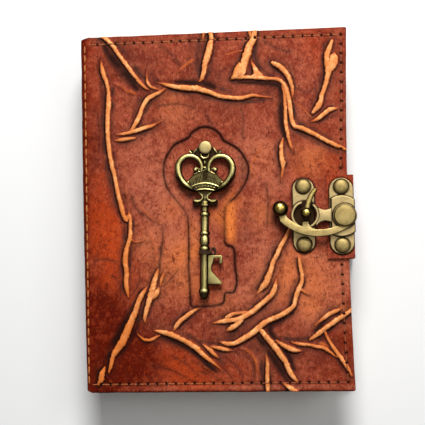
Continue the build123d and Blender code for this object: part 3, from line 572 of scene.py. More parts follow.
# Wedges of blue-black dye and painted shadow beside the wrinkles, and the blackest of them
WEDGES = [
    [(116, 43, 3), (124, 52, 5), (129, 58, 3)],
    [(135, 68, 5), (142, 76, 6), (148, 80, 3)],
    [(151, 74, 3), (157, 81, 4)],
    [(199, 40, 4), (198, 55, 6), (198, 67, 6), (199, 79, 4)],
    [(212, 60, 3), (208, 76, 4)],
    [(186, 94, 4), (205, 97.5, 4), (221, 102, 3)],
    [(101, 80, 3), (103, 100, 5), (103, 120, 5), (104, 140, 5), (106, 160, 5), (112, 190, 5),
     (119, 212, 4), (123, 223, 3)],
    [(113, 88, 3), (112, 106, 3)],
    [(140, 99, 5), (136, 112, 5), (133, 123, 3)],
    [(150, 103, 4), (145, 113, 3)],
    [(122, 136.6, 2.5), (146, 132, 2.5)],
    [(258, 33, 4), (255, 48, 5), (255, 61, 7), (262, 70, 6), (273, 76, 4)],
    [(293, 103, 4), (295, 118, 5), (301, 124, 5), (314, 130, 6), (326, 136, 3)],
    [(298, 133, 3), (320, 144.5, 3), (341, 154, 3)],
    [(293, 77, 3), (295, 89, 3)],
    [(283, 79, 3), (289, 91, 3)],
    [(226, 101, 3), (245, 102, 3.5), (264, 100, 3)],
    [(221, 89, 5), (231, 92, 4)],
    [(324, 44, 3), (323.5, 60, 3.5), (324.5, 75, 3)],
    [(320, 112, 2), (331, 106.5, 2.5)],
    [(321, 120.5, 2.5), (336, 115, 2.5)],
    [(125, 225, 3.5), (124, 240, 4), (122, 255, 4), (122, 270, 4), (123, 290, 3)],
    [(133, 222, 3), (133.5, 236, 3)],
    [(131, 248, 3), (130, 266, 3)],
    [(161, 247, 2.5), (160, 262, 3), (158, 272, 2.5)],
    [(154, 278, 3), (149, 290, 4), (145, 303, 4), (141, 313, 5), (137, 326, 4), (131, 340, 3.5),
     (124, 351, 3)],
    [(188, 335, 3), (199, 343, 4), (210, 352, 3), (218, 359.5, 3)],
    [(200, 341, 2.5), (213, 343, 2.5), (224, 345.5, 3)],
    [(217, 357, 5), (224, 364, 4)],
    [(273, 252, 3), (268, 264, 4), (263, 277, 4), (256, 289, 3)],
    [(276, 264, 3), (270, 281, 3), (264, 291, 3)],
    [(273, 298, 4), (262, 308, 6), (250, 319, 7), (240, 327, 7), (229, 337, 5)],
    [(296, 279, 3), (292, 293, 4), (290, 304, 4)],
    [(261, 360, 3), (262, 376, 3.5)],
    [(285, 338.5, 4), (296, 339.5, 4), (309, 338, 4)],
    [(318, 341.5, 3), (330, 330.5, 3), (346, 319.5, 3)],
    [(330, 349, 3), (337.5, 360, 3), (345, 370, 3)],
]
DEEP_WEDGES = [
    [(104, 46, 4), (112, 58, 8), (121, 68, 9), (129, 77, 9), (137, 88, 6)],
    [(176, 82, 3), (192, 83, 6), (205, 84, 7), (214, 87, 5)],
    [(238, 82, 3), (260, 83, 4), (277, 85, 5), (281, 93, 5), (281, 110, 5), (282, 125, 5),
     (285, 139, 3)],
    [(134, 308, 6), (128, 320, 7), (121, 333, 7), (114, 345, 6), (109, 357, 4)],
    [(160, 336, 3), (175, 342, 4), (190, 350, 4.5), (200, 357, 5), (208, 365, 5), (216, 371, 4)],
    [(293, 313, 3), (282, 319.5, 4), (271, 325, 5), (271, 333, 5), (279, 342, 4), (289, 357, 5),
     (294, 369, 4)],
    [(257, 336, 4), (266, 348, 6), (273, 358, 6), (280, 368, 6), (287, 380, 4)],
    [(316, 331, 4), (325, 320.5, 4), (339, 312.5, 4)],
]
# Where the hide's dye differs, and where shadow or light is painted on it: pixel, pixel, radius in pixels,
# strength
# The strong spots down the keyhole's right edge are a painted highlight on its lip; the others are orange
# dye
GLOWS = [
    (227, 222, 7, 0.4), (218, 214, 10, 0.45), (229.5, 208, 5, 0.8), (230, 215, 5.5, 0.85),
    (230, 223, 5.5, 0.85), (230, 231, 5.5, 0.85), (230, 238, 5, 0.85), (343, 310, 8, 0.3),
    (172, 210, 12, 0.3), (195, 285, 16, 0.35), (165, 275, 20, 0.35), (178, 255, 16, 0.35),
    (272, 285, 18, 0.3), (290, 262, 20, 0.3), (232, 200, 9, 0.5), (262, 160, 16, 0.2),
    (302, 160, 14, 0.15), (312, 282, 26, 0.35), (315, 160, 16, 0.3), (262, 212, 14, 0.3),
    (145, 245, 18, 0.2), (172, 105, 20, 0.2), (312, 308, 12, 0.3), (193, 250, 14, 0.3),
    (196, 250, 10, 0.3), (192, 228, 9, 0.4), (228, 305, 16, 0.2),
]
PALES = [
    (165, 190, 30, 0.9), (172, 235, 26, 0.8), (300, 265, 26, 0.9), (318, 290, 26, 0.9),
    (252, 155, 24, 0.8), (262, 250, 22, 0.9), (145, 165, 24, 0.6), (345, 275, 14, 0.8),
    (235, 300, 20, 0.9), (290, 118, 14, 0.5), (300, 70, 18, 0.4), (175, 275, 26, 0.9),
    (140, 200, 18, 0.4), (262, 165, 22, 0.8), (262, 210, 18, 0.8), (312, 160, 18, 0.5),
    (312, 305, 16, 0.9), (175, 108, 20, 0.5), (145, 245, 18, 0.8), (195, 262, 12, 0.6),
    (200, 235, 16, 0.9), (310, 280, 24, 0.6), (262, 290, 20, 0.9), (285, 180, 16, 0.5),
    (140, 145, 16, 0.4),
]
EMBERS = [
    (96, 212, 22, 0.9), (100, 245, 20, 0.8), (116, 250, 20, 0.6), (116, 280, 18, 0.8),
    (112, 220, 16, 0.5), (165, 360, 22, 0.7), (190, 374, 22, 0.9), (100, 180, 14, 0.5),
    (96, 110, 12, 0.4), (240, 374, 18, 0.3), (98, 285, 14, 0.6), (215, 380, 18, 0.4),
    (315, 130, 12, 0.4), (312, 40, 14, 0.4), (345, 150, 10, 0.4), (300, 170, 14, 0.35),
    (130, 300, 14, 0.5), (330, 165, 14, 0.4), (240, 60, 12, 0.2), (320, 60, 12, 0.3),
]
DUSKS = [
    (88, 348, 26, 1.0), (108, 352, 26, 0.9), (106, 378, 24, 0.9), (135, 362, 22, 0.6),
    (88, 310, 22, 0.8), (92, 70, 14, 0.4), (90, 140, 14, 0.7), (110, 322, 22, 0.7), (132, 335, 20, 0.5),
    (340, 352, 20, 0.3), (330, 380, 24, 0.2), (118, 55, 16, 0.2), (88, 280, 16, 0.6),
    (90, 385, 18, 0.9), (150, 378, 22, 0.4), (152, 350, 18, 0.35), (88, 100, 14, 0.55),
    (88, 170, 12, 0.35), (112, 300, 14, 0.5), (346, 340, 12, 0.4), (345, 65, 12, 0.35),
    (345, 40, 12, 0.35), (92, 200, 18, 0.2), (345, 95, 10, 0.3), (88, 245, 10, 0.2),
]
# Darker dye, and painted shadows under the key's bow and beside the lever's knob
SHADED = [
    (277, 214, 8, 0.9), (288, 230, 7, 0.8), (284, 222, 6, 0.6), (300, 163, 8, 0.3), (128, 60, 14, 0.35),
    (118, 44, 14, 0.3), (150, 60, 14, 0.2), (150, 82, 10, 0.4), (195, 100, 14, 0.3),
    (228, 100, 16, 0.4), (270, 92, 10, 0.45), (250, 345, 14, 0.35), (285, 362, 14, 0.2),
    (320, 355, 12, 0.3), (150, 325, 12, 0.4), (230, 335, 14, 0.45), (246, 236, 7, 0.3),
    (248, 215, 7, 0.3), (205, 355, 14, 0.4), (222, 350, 12, 0.35), (196, 44, 12, 0.35),
    (200, 66, 12, 0.35), (218, 76, 12, 0.35), (192, 84, 10, 0.3), (262, 350, 12, 0.3),
    (245, 168, 5, 0.6), (243, 178, 5, 0.5), (242, 158, 5, 0.55), (332, 350, 12, 0.25),
    (345, 80, 10, 0.25), (312, 333, 10, 0.3), (96, 112, 9, 0.35), (97, 138, 9, 0.4), (96, 160, 9, 0.35),
    (262, 66, 8, 0.2), (164, 125, 12, 0.15), (135, 100, 10, 0.25), (183, 187, 4, 0.9),
    (177, 178, 3.5, 0.7), (190, 196, 4, 0.9), (197, 202, 4, 0.8), (226, 190, 3.5, 0.7),
    (220, 197, 4, 0.8), (213, 202, 4, 0.8), (194, 208, 4, 0.7), (216, 207, 3.5, 0.6),
]
# Where the keyhole's line is faint
KEYHOLE_FADES = [
    (226, 212, 6, 0.45), (226, 222, 7, 0.45), (226, 233, 7, 0.45), (226, 203, 4, 0.7),
    (185.5, 213.5, 3, 0.9), (178, 202, 9, 0.3), (236, 186, 8, 0.3),
]

# Width in pixels of a line that is read without one
PRESSED_WIDTH = 1.0
# Least distance that is divided by, and least half width of a line
TINY = 1e-6
LEAST_HALF = 0.05
# Distance under which two vertices are one
MERGE = 1e-4
# Brings the fore-edge as far out as the head and the tail
FORE_SHIFT = 22.5


def seen_knots(route):
    """A route's places on the cover, each with its half width, from pixels of the photograph."""
    knots = []
    for px, py, *width in route:
        at = on_cover(px, py)
        knots.append(Vector((at.x, at.y, (width[0] if width else PRESSED_WIDTH) * PIXEL / 2)))
    return knots


def smooth_line(knots, closed=False, parts=10):
    """Points along a smooth line through knots of place and half width."""
    count = len(knots)

    def knot(i):
        return knots[i % count] if closed else knots[min(max(i, 0), count - 1)]

    line = []
    for i in range(count if closed else count - 1):
        start, end = knot(i), knot(i + 1)
        leave = start + (end - knot(i - 1)) / 6
        arrive = end - (knot(i + 2) - start) / 6
        line += interpolate_bezier(start, leave, arrive, end, parts)[:-1]
    line.append(knots[0] if closed else knots[-1])
    return np.array(line)


def seen_lines(routes):
    """Smooth lines through routes read off the photograph."""
    return [smooth_line(seen_knots(route)) for route in routes]


def measured_lines(routes):
    """Smooth lines through routes in millimetres."""
    return [smooth_line([Vector((a, b, wide / 2)) for a, b, wide in route]) for route in routes]


def to_line(x, y, line):
    """Each point's distance to a line, the line's half width there, and the unit way from line to point."""
    start = line[:-1]
    run = line[1:] - start
    off_x = x[:, None] - start[:, 0]
    off_y = y[:, None] - start[:, 1]
    share = (off_x * run[:, 0] + off_y * run[:, 1]) / (run[:, 0] ** 2 + run[:, 1] ** 2)
    share = np.clip(share, 0, 1)
    off_x = off_x - share * run[:, 0]
    off_y = off_y - share * run[:, 1]
    distance = np.hypot(off_x, off_y)
    rows = np.arange(len(x))
    near = distance.argmin(1)
    half = start[near, 2] + share[rows, near] * run[near, 2]
    gap = distance[rows, near]
    way = np.stack([off_x[rows, near], off_y[rows, near]], 1) / np.maximum(gap, TINY)[:, None]
    return gap, np.maximum(half, LEAST_HALF), way


def near_line(x, y, line, reach):
    """Which points lie near a line, with what to_line tells of them."""
    low = line[:, :2].min(0) - reach
    high = line[:, :2].max(0) + reach
    some = np.flatnonzero((x > low[0]) & (x < high[0]) & (y > low[1]) & (y < high[1]))
    return some, *to_line(x[some], y[some], line)


def near_edge(x, y, outline):
    """Each point's distance to a closed flat outline."""
    loop = np.array([(px, py, 0) for px, py in outline + outline[:1]], float)
    return to_line(x, y, loop)[0]


def inside(x, y, line):
    """Which points lie inside a closed line."""
    crossings = np.zeros(len(x), int)
    for (ax, ay, _), (bx, by, _) in zip(line[:-1], line[1:]):
        if ay != by:
            spans = (y >= min(ay, by)) & (y < max(ay, by))
            crossings += spans & (x < ax + (y - ay) * (bx - ax) / (by - ay))
    return crossings % 2 == 1


def soft_step(value, low, high):
    """0 where the value is low, 1 where it is high, with a soft step from one to the other."""
    share = np.clip((value - low) / (high - low), 0, 1)
    return share * share * (3 - 2 * share)


def bell(distance, wide):
    """1 on a line, falling softly to nothing beside it."""
    return np.exp(-((distance / wide) ** 2))


def spots(x, y, table):
    """The sum of a table's soft round spots."""
    total = np.zeros(len(x))
    for px, py, radius, strength in table:
        at = on_cover(px, py)
        reach = radius * PIXEL
        total += strength * np.exp(-((x - at.x) ** 2 + (y - at.y) ** 2) / reach**2)
    return np.clip(total, 0, 1)


def uneven(x, y, size, seed):
    """Soft noise over a hide, from -1 to 1."""
    return np.array([noise.noise(Vector((a / size, b / size, seed))) for a, b in zip(x, y)])


def fore_edge(y):
    """The cover's fore-edge, which dips in at its middle."""
    return FORE_EDGE - FORE_DIP * (1 - (y / HALF_HEIGHT) ** 2)


def outward(x, y):
    """How far out a place lies towards the head, the tail or the fore-edge."""
    return np.maximum(abs(y), x + FORE_SHIFT)


def stitch_holes(row):
    """Evenly spaced holes along a row of corner points."""
    points = np.array(row, float)
    steps = np.hypot(*np.diff(points, axis=0).T)
    travelled = np.concatenate([[0], np.cumsum(steps)])
    count = round(travelled[-1] / STITCH_PITCH)
    along = np.linspace(0, travelled[-1], count + 1)
    return np.stack([np.interp(along, travelled, points[:, k]) for k in (0, 1)], 1)


STITCH_PITCH = 4.68
HOLE_RADIUS = 0.7
# Holes of the bottom row whose thread is still pale
PALE_HOLES = 14
STITCH_ROWS = {
    "top": [(-63.4, 85.2), (63.2, 85.3)],
    "bottom": [(-63.4, -84.9), (62.4, -84.6)],
    "fore": [(63.2, 85.3), (62.9, 60.0), (61.6, 20.0), (60.9, -28.0), (61.4, -60.0), (62.4, -84.6)],
}
HOLES = {name: stitch_holes(row) for name, row in STITCH_ROWS.items()}

WRINKLE_LINES = seen_lines(WRINKLES)
FAINT_LINES = seen_lines(FAINT_WRINKLES)
SCRATCH_LINES = seen_lines(SCRATCHES)
CREASE_LINES = seen_lines(CREASES)
WEDGE_LINES = seen_lines(WEDGES)
DEEP_WEDGE_LINES = seen_lines(DEEP_WEDGES)
KEYHOLE_LINE = smooth_line(seen_knots(KEYHOLE), closed=True, parts=6)
BACK_LINES = measured_lines(BACK_WRINKLES)
SPINE_LINES = measured_lines(SPINE_WRINKLES)

# How far from a line its relief and its colours reach
WRINKLE_REACH = 6.0
KEYHOLE_REACH = 4.0
CREASE_REACH = 2.5
STITCH_REACH = 2.0
SCRATCH_REACH = 1.5

# Section of a wrinkle: shares of its half width, and shares of its height there
WRINKLE_SHAPE = (
    [0, 0.35, 0.65, 0.85, 1.05, 1.25, 1.5, 1.9, 2.6, 3.3],
    [1, 0.96, 0.83, 0.62, 0.3, 0.05, -0.08, -0.12, -0.04, 0],
)
WRINKLE_SLOPE = 0.85
WRINKLE_HEIGHTS = (0.12, 1.2)
FAINT_STRENGTH = 0.4
# Half width from which a wrinkle has its full colours, and the share of it where the rubbed crest ends
FULL_HALF = 1.1
CREST_END = (1.14, 0.66)
# Dye along a wrinkle's foot, and the shadow beyond it
DYE_OUT = 0.42
DYE_WIDE = 0.46
HALO_WIDE = 1.4
HALO_MORE = 2.0
# The side of a wrinkle away from the light holds more dye, as painted shade
SHADE_SIDE = np.array([-0.66, -0.75])
# Wedges of dye and painted shadow: strength, share of black
WEDGE_DYE_AND_SHADE = (0.85, 0.0)
DEEP_WEDGE_DYE_AND_SHADE = (1.05, 0.85)
WEDGE_SPREAD = 1.35

# Depths pressed into the hide
CREASE_DEPTH = 0.12
GROOVE_DEPTH = 0.28
LIP_HEIGHT = 0.16
LIP_OUT = 1.1
HOLE_DEPTH = 0.45
CHANNEL_DEPTH = 0.14
BED_DEPTH = 0.06
BED_SLOPE = 1.6

# Soft noises over the hides: size in millimetres, seed
RAGGED = (1.3, 3.0)
BROKEN = (5.0, 7.0)
SLOW = (16.0, 9.0)
WIDE_WAVES = (14.0, 1.0)
SMALL_WAVES = (4.5, 2.0)
EDGE_WAVES = (9.0, 5.0)
BACK_CLOUDS = (22.0, 11.0)
BACK_WAVES = (9.0, 12.0)

# The clasp's plates: middle, width and length
CATCH = (43.0, -3.6)
CATCH_SIZE = (10.9, 36.7)
HINGE = (61.4, -4.3)
HINGE_SIZE = (12.0, 37.4)
# Flat beds under the catch plate and the strap: middle, half sizes
BEDS = [(CATCH, (6.4, 19.4)), ((61.0, -4.6), (8.0, 21.4))]


def dye_masks(x, y):
    """Masks for the places where the hide's dye differs, and for its painted shadows and painted highlight.
    """
    tables = {"glow": GLOWS, "pale": PALES, "ember": EMBERS, "dusk": DUSKS, "halo": SHADED}
    masks = {name: spots(x, y, table) for name, table in tables.items()}
    masks["dusk"] = np.maximum(masks["dusk"], 0.45 * soft_step(x, -56, -65))
    return masks


class Relief:
    """How far a hide rises at each place, and the masks for its colours."""

    def __init__(self, x, y):
        self.x = x
        self.y = y
        self.rise = np.zeros(len(x))
        self.dip = np.zeros(len(x))
        self.masks = {name: np.zeros(len(x)) for name in ("crest", "dye_and_shade", "halo")}
        self.ragged = uneven(x, y, *RAGGED)
        self.broken = uneven(x, y, *BROKEN)
        self.slow = uneven(x, y, *SLOW)

    def near(self, line, reach=WRINKLE_REACH):
        return near_line(self.x, self.y, line, reach)

    def deepen(self, name, some, values):
        """Let a mask be at least these values at some places."""
        self.masks[name][some] = np.maximum(self.masks[name][some], values)

    def wrinkles(self, lines, strength=1.0):
        """Raise wrinkles with worn crests, dye along their feet that is heavier on the side away from the
        light as painted shade, and a painted shadow beyond it.
        """
        for line in lines:
            some, gap, half, way = self.near(line)
            broken = self.broken[some]
            height = strength * np.clip(WRINKLE_SLOPE * half, *WRINKLE_HEIGHTS) * (1 + 0.3 * broken)
            shape = np.interp(gap / half, *WRINKLE_SHAPE) * height
            self.rise[some] = np.maximum(self.rise[some], shape)
            self.dip[some] = np.minimum(self.dip[some], shape)
            full = np.clip(half / FULL_HALF, 0.4, 1.0)
            worn = gap / half + self.ragged[some] * 0.28
            self.deepen("crest", some, strength * full * soft_step(worn, *CREST_END))
            firm = full * strength**2
            out = gap - half
            # Painted shade: more dye on the side away from the light
            shade = 0.62 + 0.36 * (way @ SHADE_SIDE) + 0.35 * broken
            dye_and_shade = bell(out - DYE_OUT, DYE_WIDE) * np.clip(1.5 * shade - 0.15, 0, 1)
            self.deepen("dye_and_shade", some, dye_and_shade * firm)
            wide = HALO_WIDE + HALO_MORE * np.clip(0.5 + self.slow[some], 0, 1)
            halo = bell(np.maximum(out, 0), wide) * np.clip(shade + 0.1, 0, 1)
            self.deepen("halo", some, halo * firm)

    def wedges(self, lines, strength, black):
        """Spread dye and painted shadow over the hollows beside the wrinkles."""
        for line in lines:
            some, gap, half, _ = self.near(line)
            wedge = bell(gap, WEDGE_SPREAD * half) * np.clip(strength + 0.6 * self.broken[some], 0, 1)
            self.deepen("halo", some, wedge)
            self.deepen("dye_and_shade", some, black * wedge)

    def clean_crests(self):
        """Take the dye and painted shade off the worn crests."""
        self.masks["dye_and_shade"] *= 1 - soft_step(self.masks["crest"], 0.12, 0.4)

    def scratches(self, lines):
        for line in lines:
            some, gap, _, _ = self.near(line, SCRATCH_REACH)
            self.deepen("crest", some, 0.45 * soft_step(gap, 0.45, 0.15))

    def creases(self, lines):
        """Press thin dark creases into the hide."""
        for line in lines:
            some, gap, _, _ = self.near(line, CREASE_REACH)
            firm = np.clip(0.6 + 0.9 * self.broken[some], 0.1, 1)
            self.dip[some] -= CREASE_DEPTH * firm * bell(gap, 0.5)
            self.deepen("dye_and_shade", some, 0.6 * firm * bell(gap, 0.3))
            self.deepen("halo", some, 0.4 * bell(gap, 1.3))

    def settle(self):
        """Join what rises and what sinks to one height."""
        self.height = np.where(self.rise > 0, self.rise, self.dip)

    def keyhole(self):
        """Sink the keyhole panel, with a black groove round it as painted shade and a lip outside the
        groove.
        """
        some, gap, _, _ = self.near(KEYHOLE_LINE, KEYHOLE_REACH)
        x, y = self.x[some], self.y[some]
        signed = np.where(inside(x, y, KEYHOLE_LINE), gap, -gap)
        # Painted shade: the groove is blacker towards the upper right and the right
        heavy = soft_step(x + y, -15, 35)
        heavy = np.maximum(heavy, 0.8 * soft_step(np.maximum(x - 2, -40 - y), 0, 5))
        firm = np.clip(0.85 + 0.4 * heavy + 0.45 * self.broken[some], 0.6, 1)
        firm *= 1 - spots(x, y, KEYHOLE_FADES)
        groove = bell(gap, 0.52 + 0.2 * heavy + 0.2 * self.ragged[some]) * firm
        panel = inside(self.x, self.y, KEYHOLE_LINE).astype(float)
        panel[some] = soft_step(signed, -0.3, 0.9)
        self.height = self.height * (1 - 0.75 * panel) - RECESS * panel
        self.height[some] -= GROOVE_DEPTH * groove
        self.height[some] += LIP_HEIGHT * bell(signed + LIP_OUT, 0.7)
        self.masks["dye_and_shade"][some] = np.maximum(self.masks["dye_and_shade"][some] * (1 - panel[some]), groove)
        self.deepen("halo", some, 0.35 * bell(gap, 1.5))
        self.masks["crest"] *= 1 - panel

    def seams(self):
        """Sink the stitch holes and the channels between them."""
        for hx, hy in np.concatenate(list(HOLES.values())):
            off_x, off_y = self.x - hx, self.y - hy
            some = np.flatnonzero((abs(off_x) < STITCH_REACH) & (abs(off_y) < STITCH_REACH))
            gap = np.hypot(off_x[some], off_y[some])
            pit = soft_step(gap, HOLE_RADIUS + 0.25, HOLE_RADIUS - 0.2)
            self.height[some] -= HOLE_DEPTH * pit
            # Painted shade: the holes are coloured black
            self.deepen("dye_and_shade", some, pit)
            self.masks["crest"][some] *= 1 - pit
        for corners in STITCH_ROWS.values():
            line = np.array([(*corner, HOLE_RADIUS) for corner in corners])
            some, gap, _, _ = self.near(line, STITCH_REACH)
            channel = bell(gap, 0.7)
            self.height[some] -= CHANNEL_DEPTH * channel
            self.deepen("halo", some, 0.3 * channel)

    def waves(self):
        wide = uneven(self.x, self.y, *WIDE_WAVES)
        small = uneven(self.x, self.y, *SMALL_WAVES)
        self.height += 0.1 * wide + 0.05 * small

    def beds(self):
        """Flatten the hide under the plates, with painted shadow as black round the catch plate's edge."""
        for (mx, my), (wide, tall) in BEDS:
            flat = soft_step(np.maximum(abs(self.x - mx) - wide, abs(self.y - my) - tall), BED_SLOPE, 0.0)
            self.height = self.height * (1 - flat) - BED_DEPTH * flat
            self.masks["crest"] *= 1 - flat
            self.masks["halo"] *= 1 - 0.8 * flat
            self.masks["dye_and_shade"] *= 1 - flat
        # Painted shadow: black on the hide round the catch plate's edge
        edge = near_edge(self.x, self.y, long_slot(*CATCH, *CATCH_SIZE))
        self.deepen("dye_and_shade", slice(None), 0.9 * soft_step(edge, 1.1, 0.3))

    def dyes(self):
        """Add the dye's glows and shades with their painted shadows and highlight, the pale hem at the tail
        and the dark cut edges.
        """
        for name, values in dye_masks(self.x, self.y).items():
            self.masks[name] = np.maximum(self.masks.get(name, 0), values)
        self.deepen("pale", slice(None), soft_step(-self.y, 85.3, 86.0))
        self.deepen("dusk", slice(None), 0.85 * soft_step(outward(self.x, self.y), 87.5, 88.9))


def front_relief(x, y):
    """The whole relief of the front hide."""
    relief = Relief(x, y)
    relief.wrinkles(WRINKLE_LINES)
    relief.wrinkles(FAINT_LINES, FAINT_STRENGTH)
    relief.clean_crests()
    relief.wedges(WEDGE_LINES, *WEDGE_DYE_AND_SHADE)
    relief.wedges(DEEP_WEDGE_LINES, *DEEP_WEDGE_DYE_AND_SHADE)
    relief.clean_crests()
    relief.scratches(SCRATCH_LINES)
    relief.creases(CREASE_LINES)
    relief.settle()
    relief.keyhole()
    relief.seams()
    relief.waves()
    relief.beds()
    relief.dyes()
    return relief


def plain_relief(x, y, lines):
    """The relief of a hide that has only wrinkles."""
    relief = Relief(x, y)
    relief.wrinkles(lines)
    relief.clean_crests()
    return relief


# Shapes


def places(bm):
    """Where the vertices of a bmesh lie: x, y and z."""
    return np.array([v.co[:] for v in bm.verts]).T


def piece_places(piece):
    """Where the vertices of a finished piece lie, in millimetres."""
    return np.array([v.co[:] for v in piece.data.vertices]).T / MM


def cut_grid(bm, box, pitch):
    """Divide a shape along an even grid inside a box, so that masks can follow its face."""
    (left, low), (right, high) = box
    cuts = [((place, 0, 0), (1, 0, 0)) for place in np.arange(left, right, pitch)]
    cuts += [((0, place, 0), (0, 1, 0)) for place in np.arange(low, high, pitch)]
    for at, way in cuts:
        bmesh.ops.bisect_plane(bm, geom=bm.verts[:] + bm.edges[:] + bm.faces[:], plane_co=at, plane_no=way)


def joined(shapes):
    """One bmesh from several."""
    whole = bmesh.new()
    for shape in shapes:
        mesh = bpy.data.meshes.new("shape")
        shape.to_mesh(mesh)
        shape.free()
        whole.from_mesh(mesh)
        bpy.data.meshes.remove(mesh)
    return whole


def pushed_out(outline, way):
    """A flat outline pushed out along a way. Returns the shape and its new face."""
    bm = bmesh.new()
    face = bm.faces.new([bm.verts.new(p) for p in outline])
    new = bmesh.ops.extrude_face_region(bm, geom=[face])["geom"]
    bmesh.ops.translate(bm, vec=way, verts=[v for v in new if isinstance(v, bmesh.types.BMVert)])
    return bm, next(f for f in new if isinstance(f, bmesh.types.BMFace))


def round_edges(bm, edges, rounding, segments):
    bmesh.ops.bevel(
        bm, geom=edges, offset=rounding, segments=segments, profile=0.5, affect="EDGES", material=-1
    )


def plate(outline, low, high, rounding, segments=3):
    """A flat metal piece with rounded top edges."""
    bm, top = pushed_out([(x, y, low) for x, y in outline], (0, 0, high - low))
    round_edges(bm, list(top.edges), rounding, segments)
    return bm


def turned(profile, at, steps=40):
    """A lathe piece about an upright axis, from (radius, height) points."""
    bm = bmesh.new()
    verts = [bm.verts.new((r, 0, z)) for r, z in profile]
    edges = [bm.edges.new(pair) for pair in zip(verts, verts[1:])]
    bmesh.ops.spin(
        bm, geom=verts + edges, cent=(0, 0, 0), axis=(0, 0, 1), angle=math.tau, steps=steps, use_merge=True
    )
    bmesh.ops.remove_doubles(bm, verts=bm.verts, dist=MERGE)
    bmesh.ops.translate(bm, vec=at, verts=bm.verts)
    return bm


def ball(at, radius, rings):
    bm = bmesh.new()
    bmesh.ops.create_uvsphere(
        bm, u_segments=rings * 3 // 2, v_segments=rings, radius=radius, matrix=Matrix.Translation(at)
    )
    return bm


def rod(path, radii, sides):
    """A round bar along a path, with its radius at each point."""
    curve = bpy.data.curves.new("rod", "CURVE")
    curve.dimensions = "3D"
    curve.bevel_depth = 1.0
    curve.bevel_resolution = sides
    curve.use_fill_caps = True
    spline = curve.splines.new("POLY")
    spline.points.add(len(path) - 1)
    for point, place, radius in zip(spline.points, path, radii):
        point.co = (*place, 1.0)
        point.radius = radius
    holder = bpy.data.objects.new("rod", curve)
    mesh = bpy.data.meshes.new_from_object(holder)
    bm = bmesh.new()
    bm.from_mesh(mesh)
    bmesh.ops.remove_doubles(bm, verts=bm.verts, dist=MERGE)
    bpy.data.objects.remove(holder)
    bpy.data.curves.remove(curve)
    bpy.data.meshes.remove(mesh)
    return bm


def arc(centre, radius, start, end, steps):
    """Points on an arc between two angles in degrees."""
    return [
        (centre[0] + radius * math.cos(a), centre[1] + radius * math.sin(a))
        for a in np.radians(np.linspace(start, end, steps + 1))
    ]


def arc_through(first, middle, last, steps):
    """Points on the arc through three points."""
    a, b, c = [complex(*p) for p in (first, middle, last)]
    slope = (c - a) / (b - a)
    centre = (b - a) * (slope - abs(slope) ** 2) / (2j * slope.imag) + a
    angles = np.unwrap(np.angle([a - centre, b - centre, c - centre]))
    return arc((centre.real, centre.imag), abs(a - centre), *np.degrees(angles[[0, -1]]), steps)


def long_slot(x, y, width, length, steps=20):
    """Outline of a plate with round ends, standing up the page."""
    reach = (length - width) / 2
    return arc((x, y + reach), width / 2, 0, 180, steps) + arc((x, y - reach), width / 2, 180, 360, steps)


# Hides

FRONT_GRID = (142, 198)
BACK_GRID = (96, 132)
# Cuts through each edge where the relief is fine, and how far beside a line that is
FINE_CUTS = 2
LINE_MARGIN = 1.25
PRESSED_MARGIN = 1.3
FRONT_ROLL = 0.55
BACK_ROLL = 0.5
HIDE_SHARP = 60


def refine(bm, wanted):
    """Divide the edges of a bmesh whose two ends are wanted."""
    x, y, _ = places(bm)
    chosen = wanted(x, y)
    bm.verts.index_update()
    edges = [e for e in bm.edges if chosen[e.verts[0].index] and chosen[e.verts[1].index]]
    bmesh.ops.subdivide_edges(bm, edges=edges, cuts=FINE_CUTS, use_grid_fill=True)


def beside_lines(x, y, lines):
    """Which places are on the lines or close beside them."""
    wanted = np.zeros(len(x), bool)
    for line in lines:
        some, gap, half, _ = near_line(x, y, line, WRINKLE_REACH)
        wanted[some] |= gap < half + LINE_MARGIN
    return wanted


def detailed(x, y):
    """Where the front hide's relief is fine enough to need a closer mesh."""
    wanted = beside_lines(x, y, WRINKLE_LINES + FAINT_LINES + SCRATCH_LINES + CREASE_LINES)
    some, gap, _, _ = near_line(x, y, KEYHOLE_LINE, KEYHOLE_REACH)
    wanted[some] |= gap < PRESSED_MARGIN
    for hx, hy in np.concatenate(list(HOLES.values())):
        wanted |= np.hypot(x - hx, y - hy) < PRESSED_MARGIN
    return wanted


def rounded_corner(x, y):
    """Bring the fore-edge corners of the cover on to their arc."""
    middle_x = FORE_EDGE - CORNER
    middle_y = HALF_HEIGHT - CORNER
    over_x = x - middle_x
    over_y = abs(y) - middle_y
    reach = np.hypot(over_x, over_y)
    outside = (over_x > 0) & (over_y > 0) & (reach > CORNER)
    pull = np.where(outside, CORNER / np.maximum(reach, TINY), 1)
    x = np.where(outside, middle_x + over_x * pull, x)
    y = np.where(outside, np.sign(y) * (middle_y + over_y * pull), y)
    return x, y


def cover_grid(across, up):
    """A flat grid with the outline of a cover panel."""
    bm = bmesh.new()
    bmesh.ops.create_grid(bm, x_segments=across, y_segments=up, size=0.5)
    for v in bm.verts:
        y = v.co.y * 2 * HALF_HEIGHT
        v.co.x = PANEL_LEFT + (v.co.x + 0.5) * (fore_edge(y) - PANEL_LEFT)
        v.co.y = y
    return bm


def edge_roll(x, y, radius):
    """How far a hide falls away at its cut edges, from the distance to the nearest one."""
    inward = np.minimum(fore_edge(y) - x, HALF_HEIGHT - abs(y))
    short = np.clip(radius - inward, 0, radius)
    return radius - np.sqrt(radius**2 - short**2)


def close_down(bm, foot):
    """Wall a grid's edge down to a flat foot and close it."""
    rim = [e for e in bm.edges if e.is_boundary]
    wall = bmesh.ops.extrude_edge_only(bm, edges=rim)["geom"]
    for v in wall:
        if isinstance(v, bmesh.types.BMVert):
            v.co.z = foot
    loop = [e for e in wall if isinstance(e, bmesh.types.BMEdge) and e.is_boundary]
    bmesh.ops.contextual_create(bm, geom=loop)


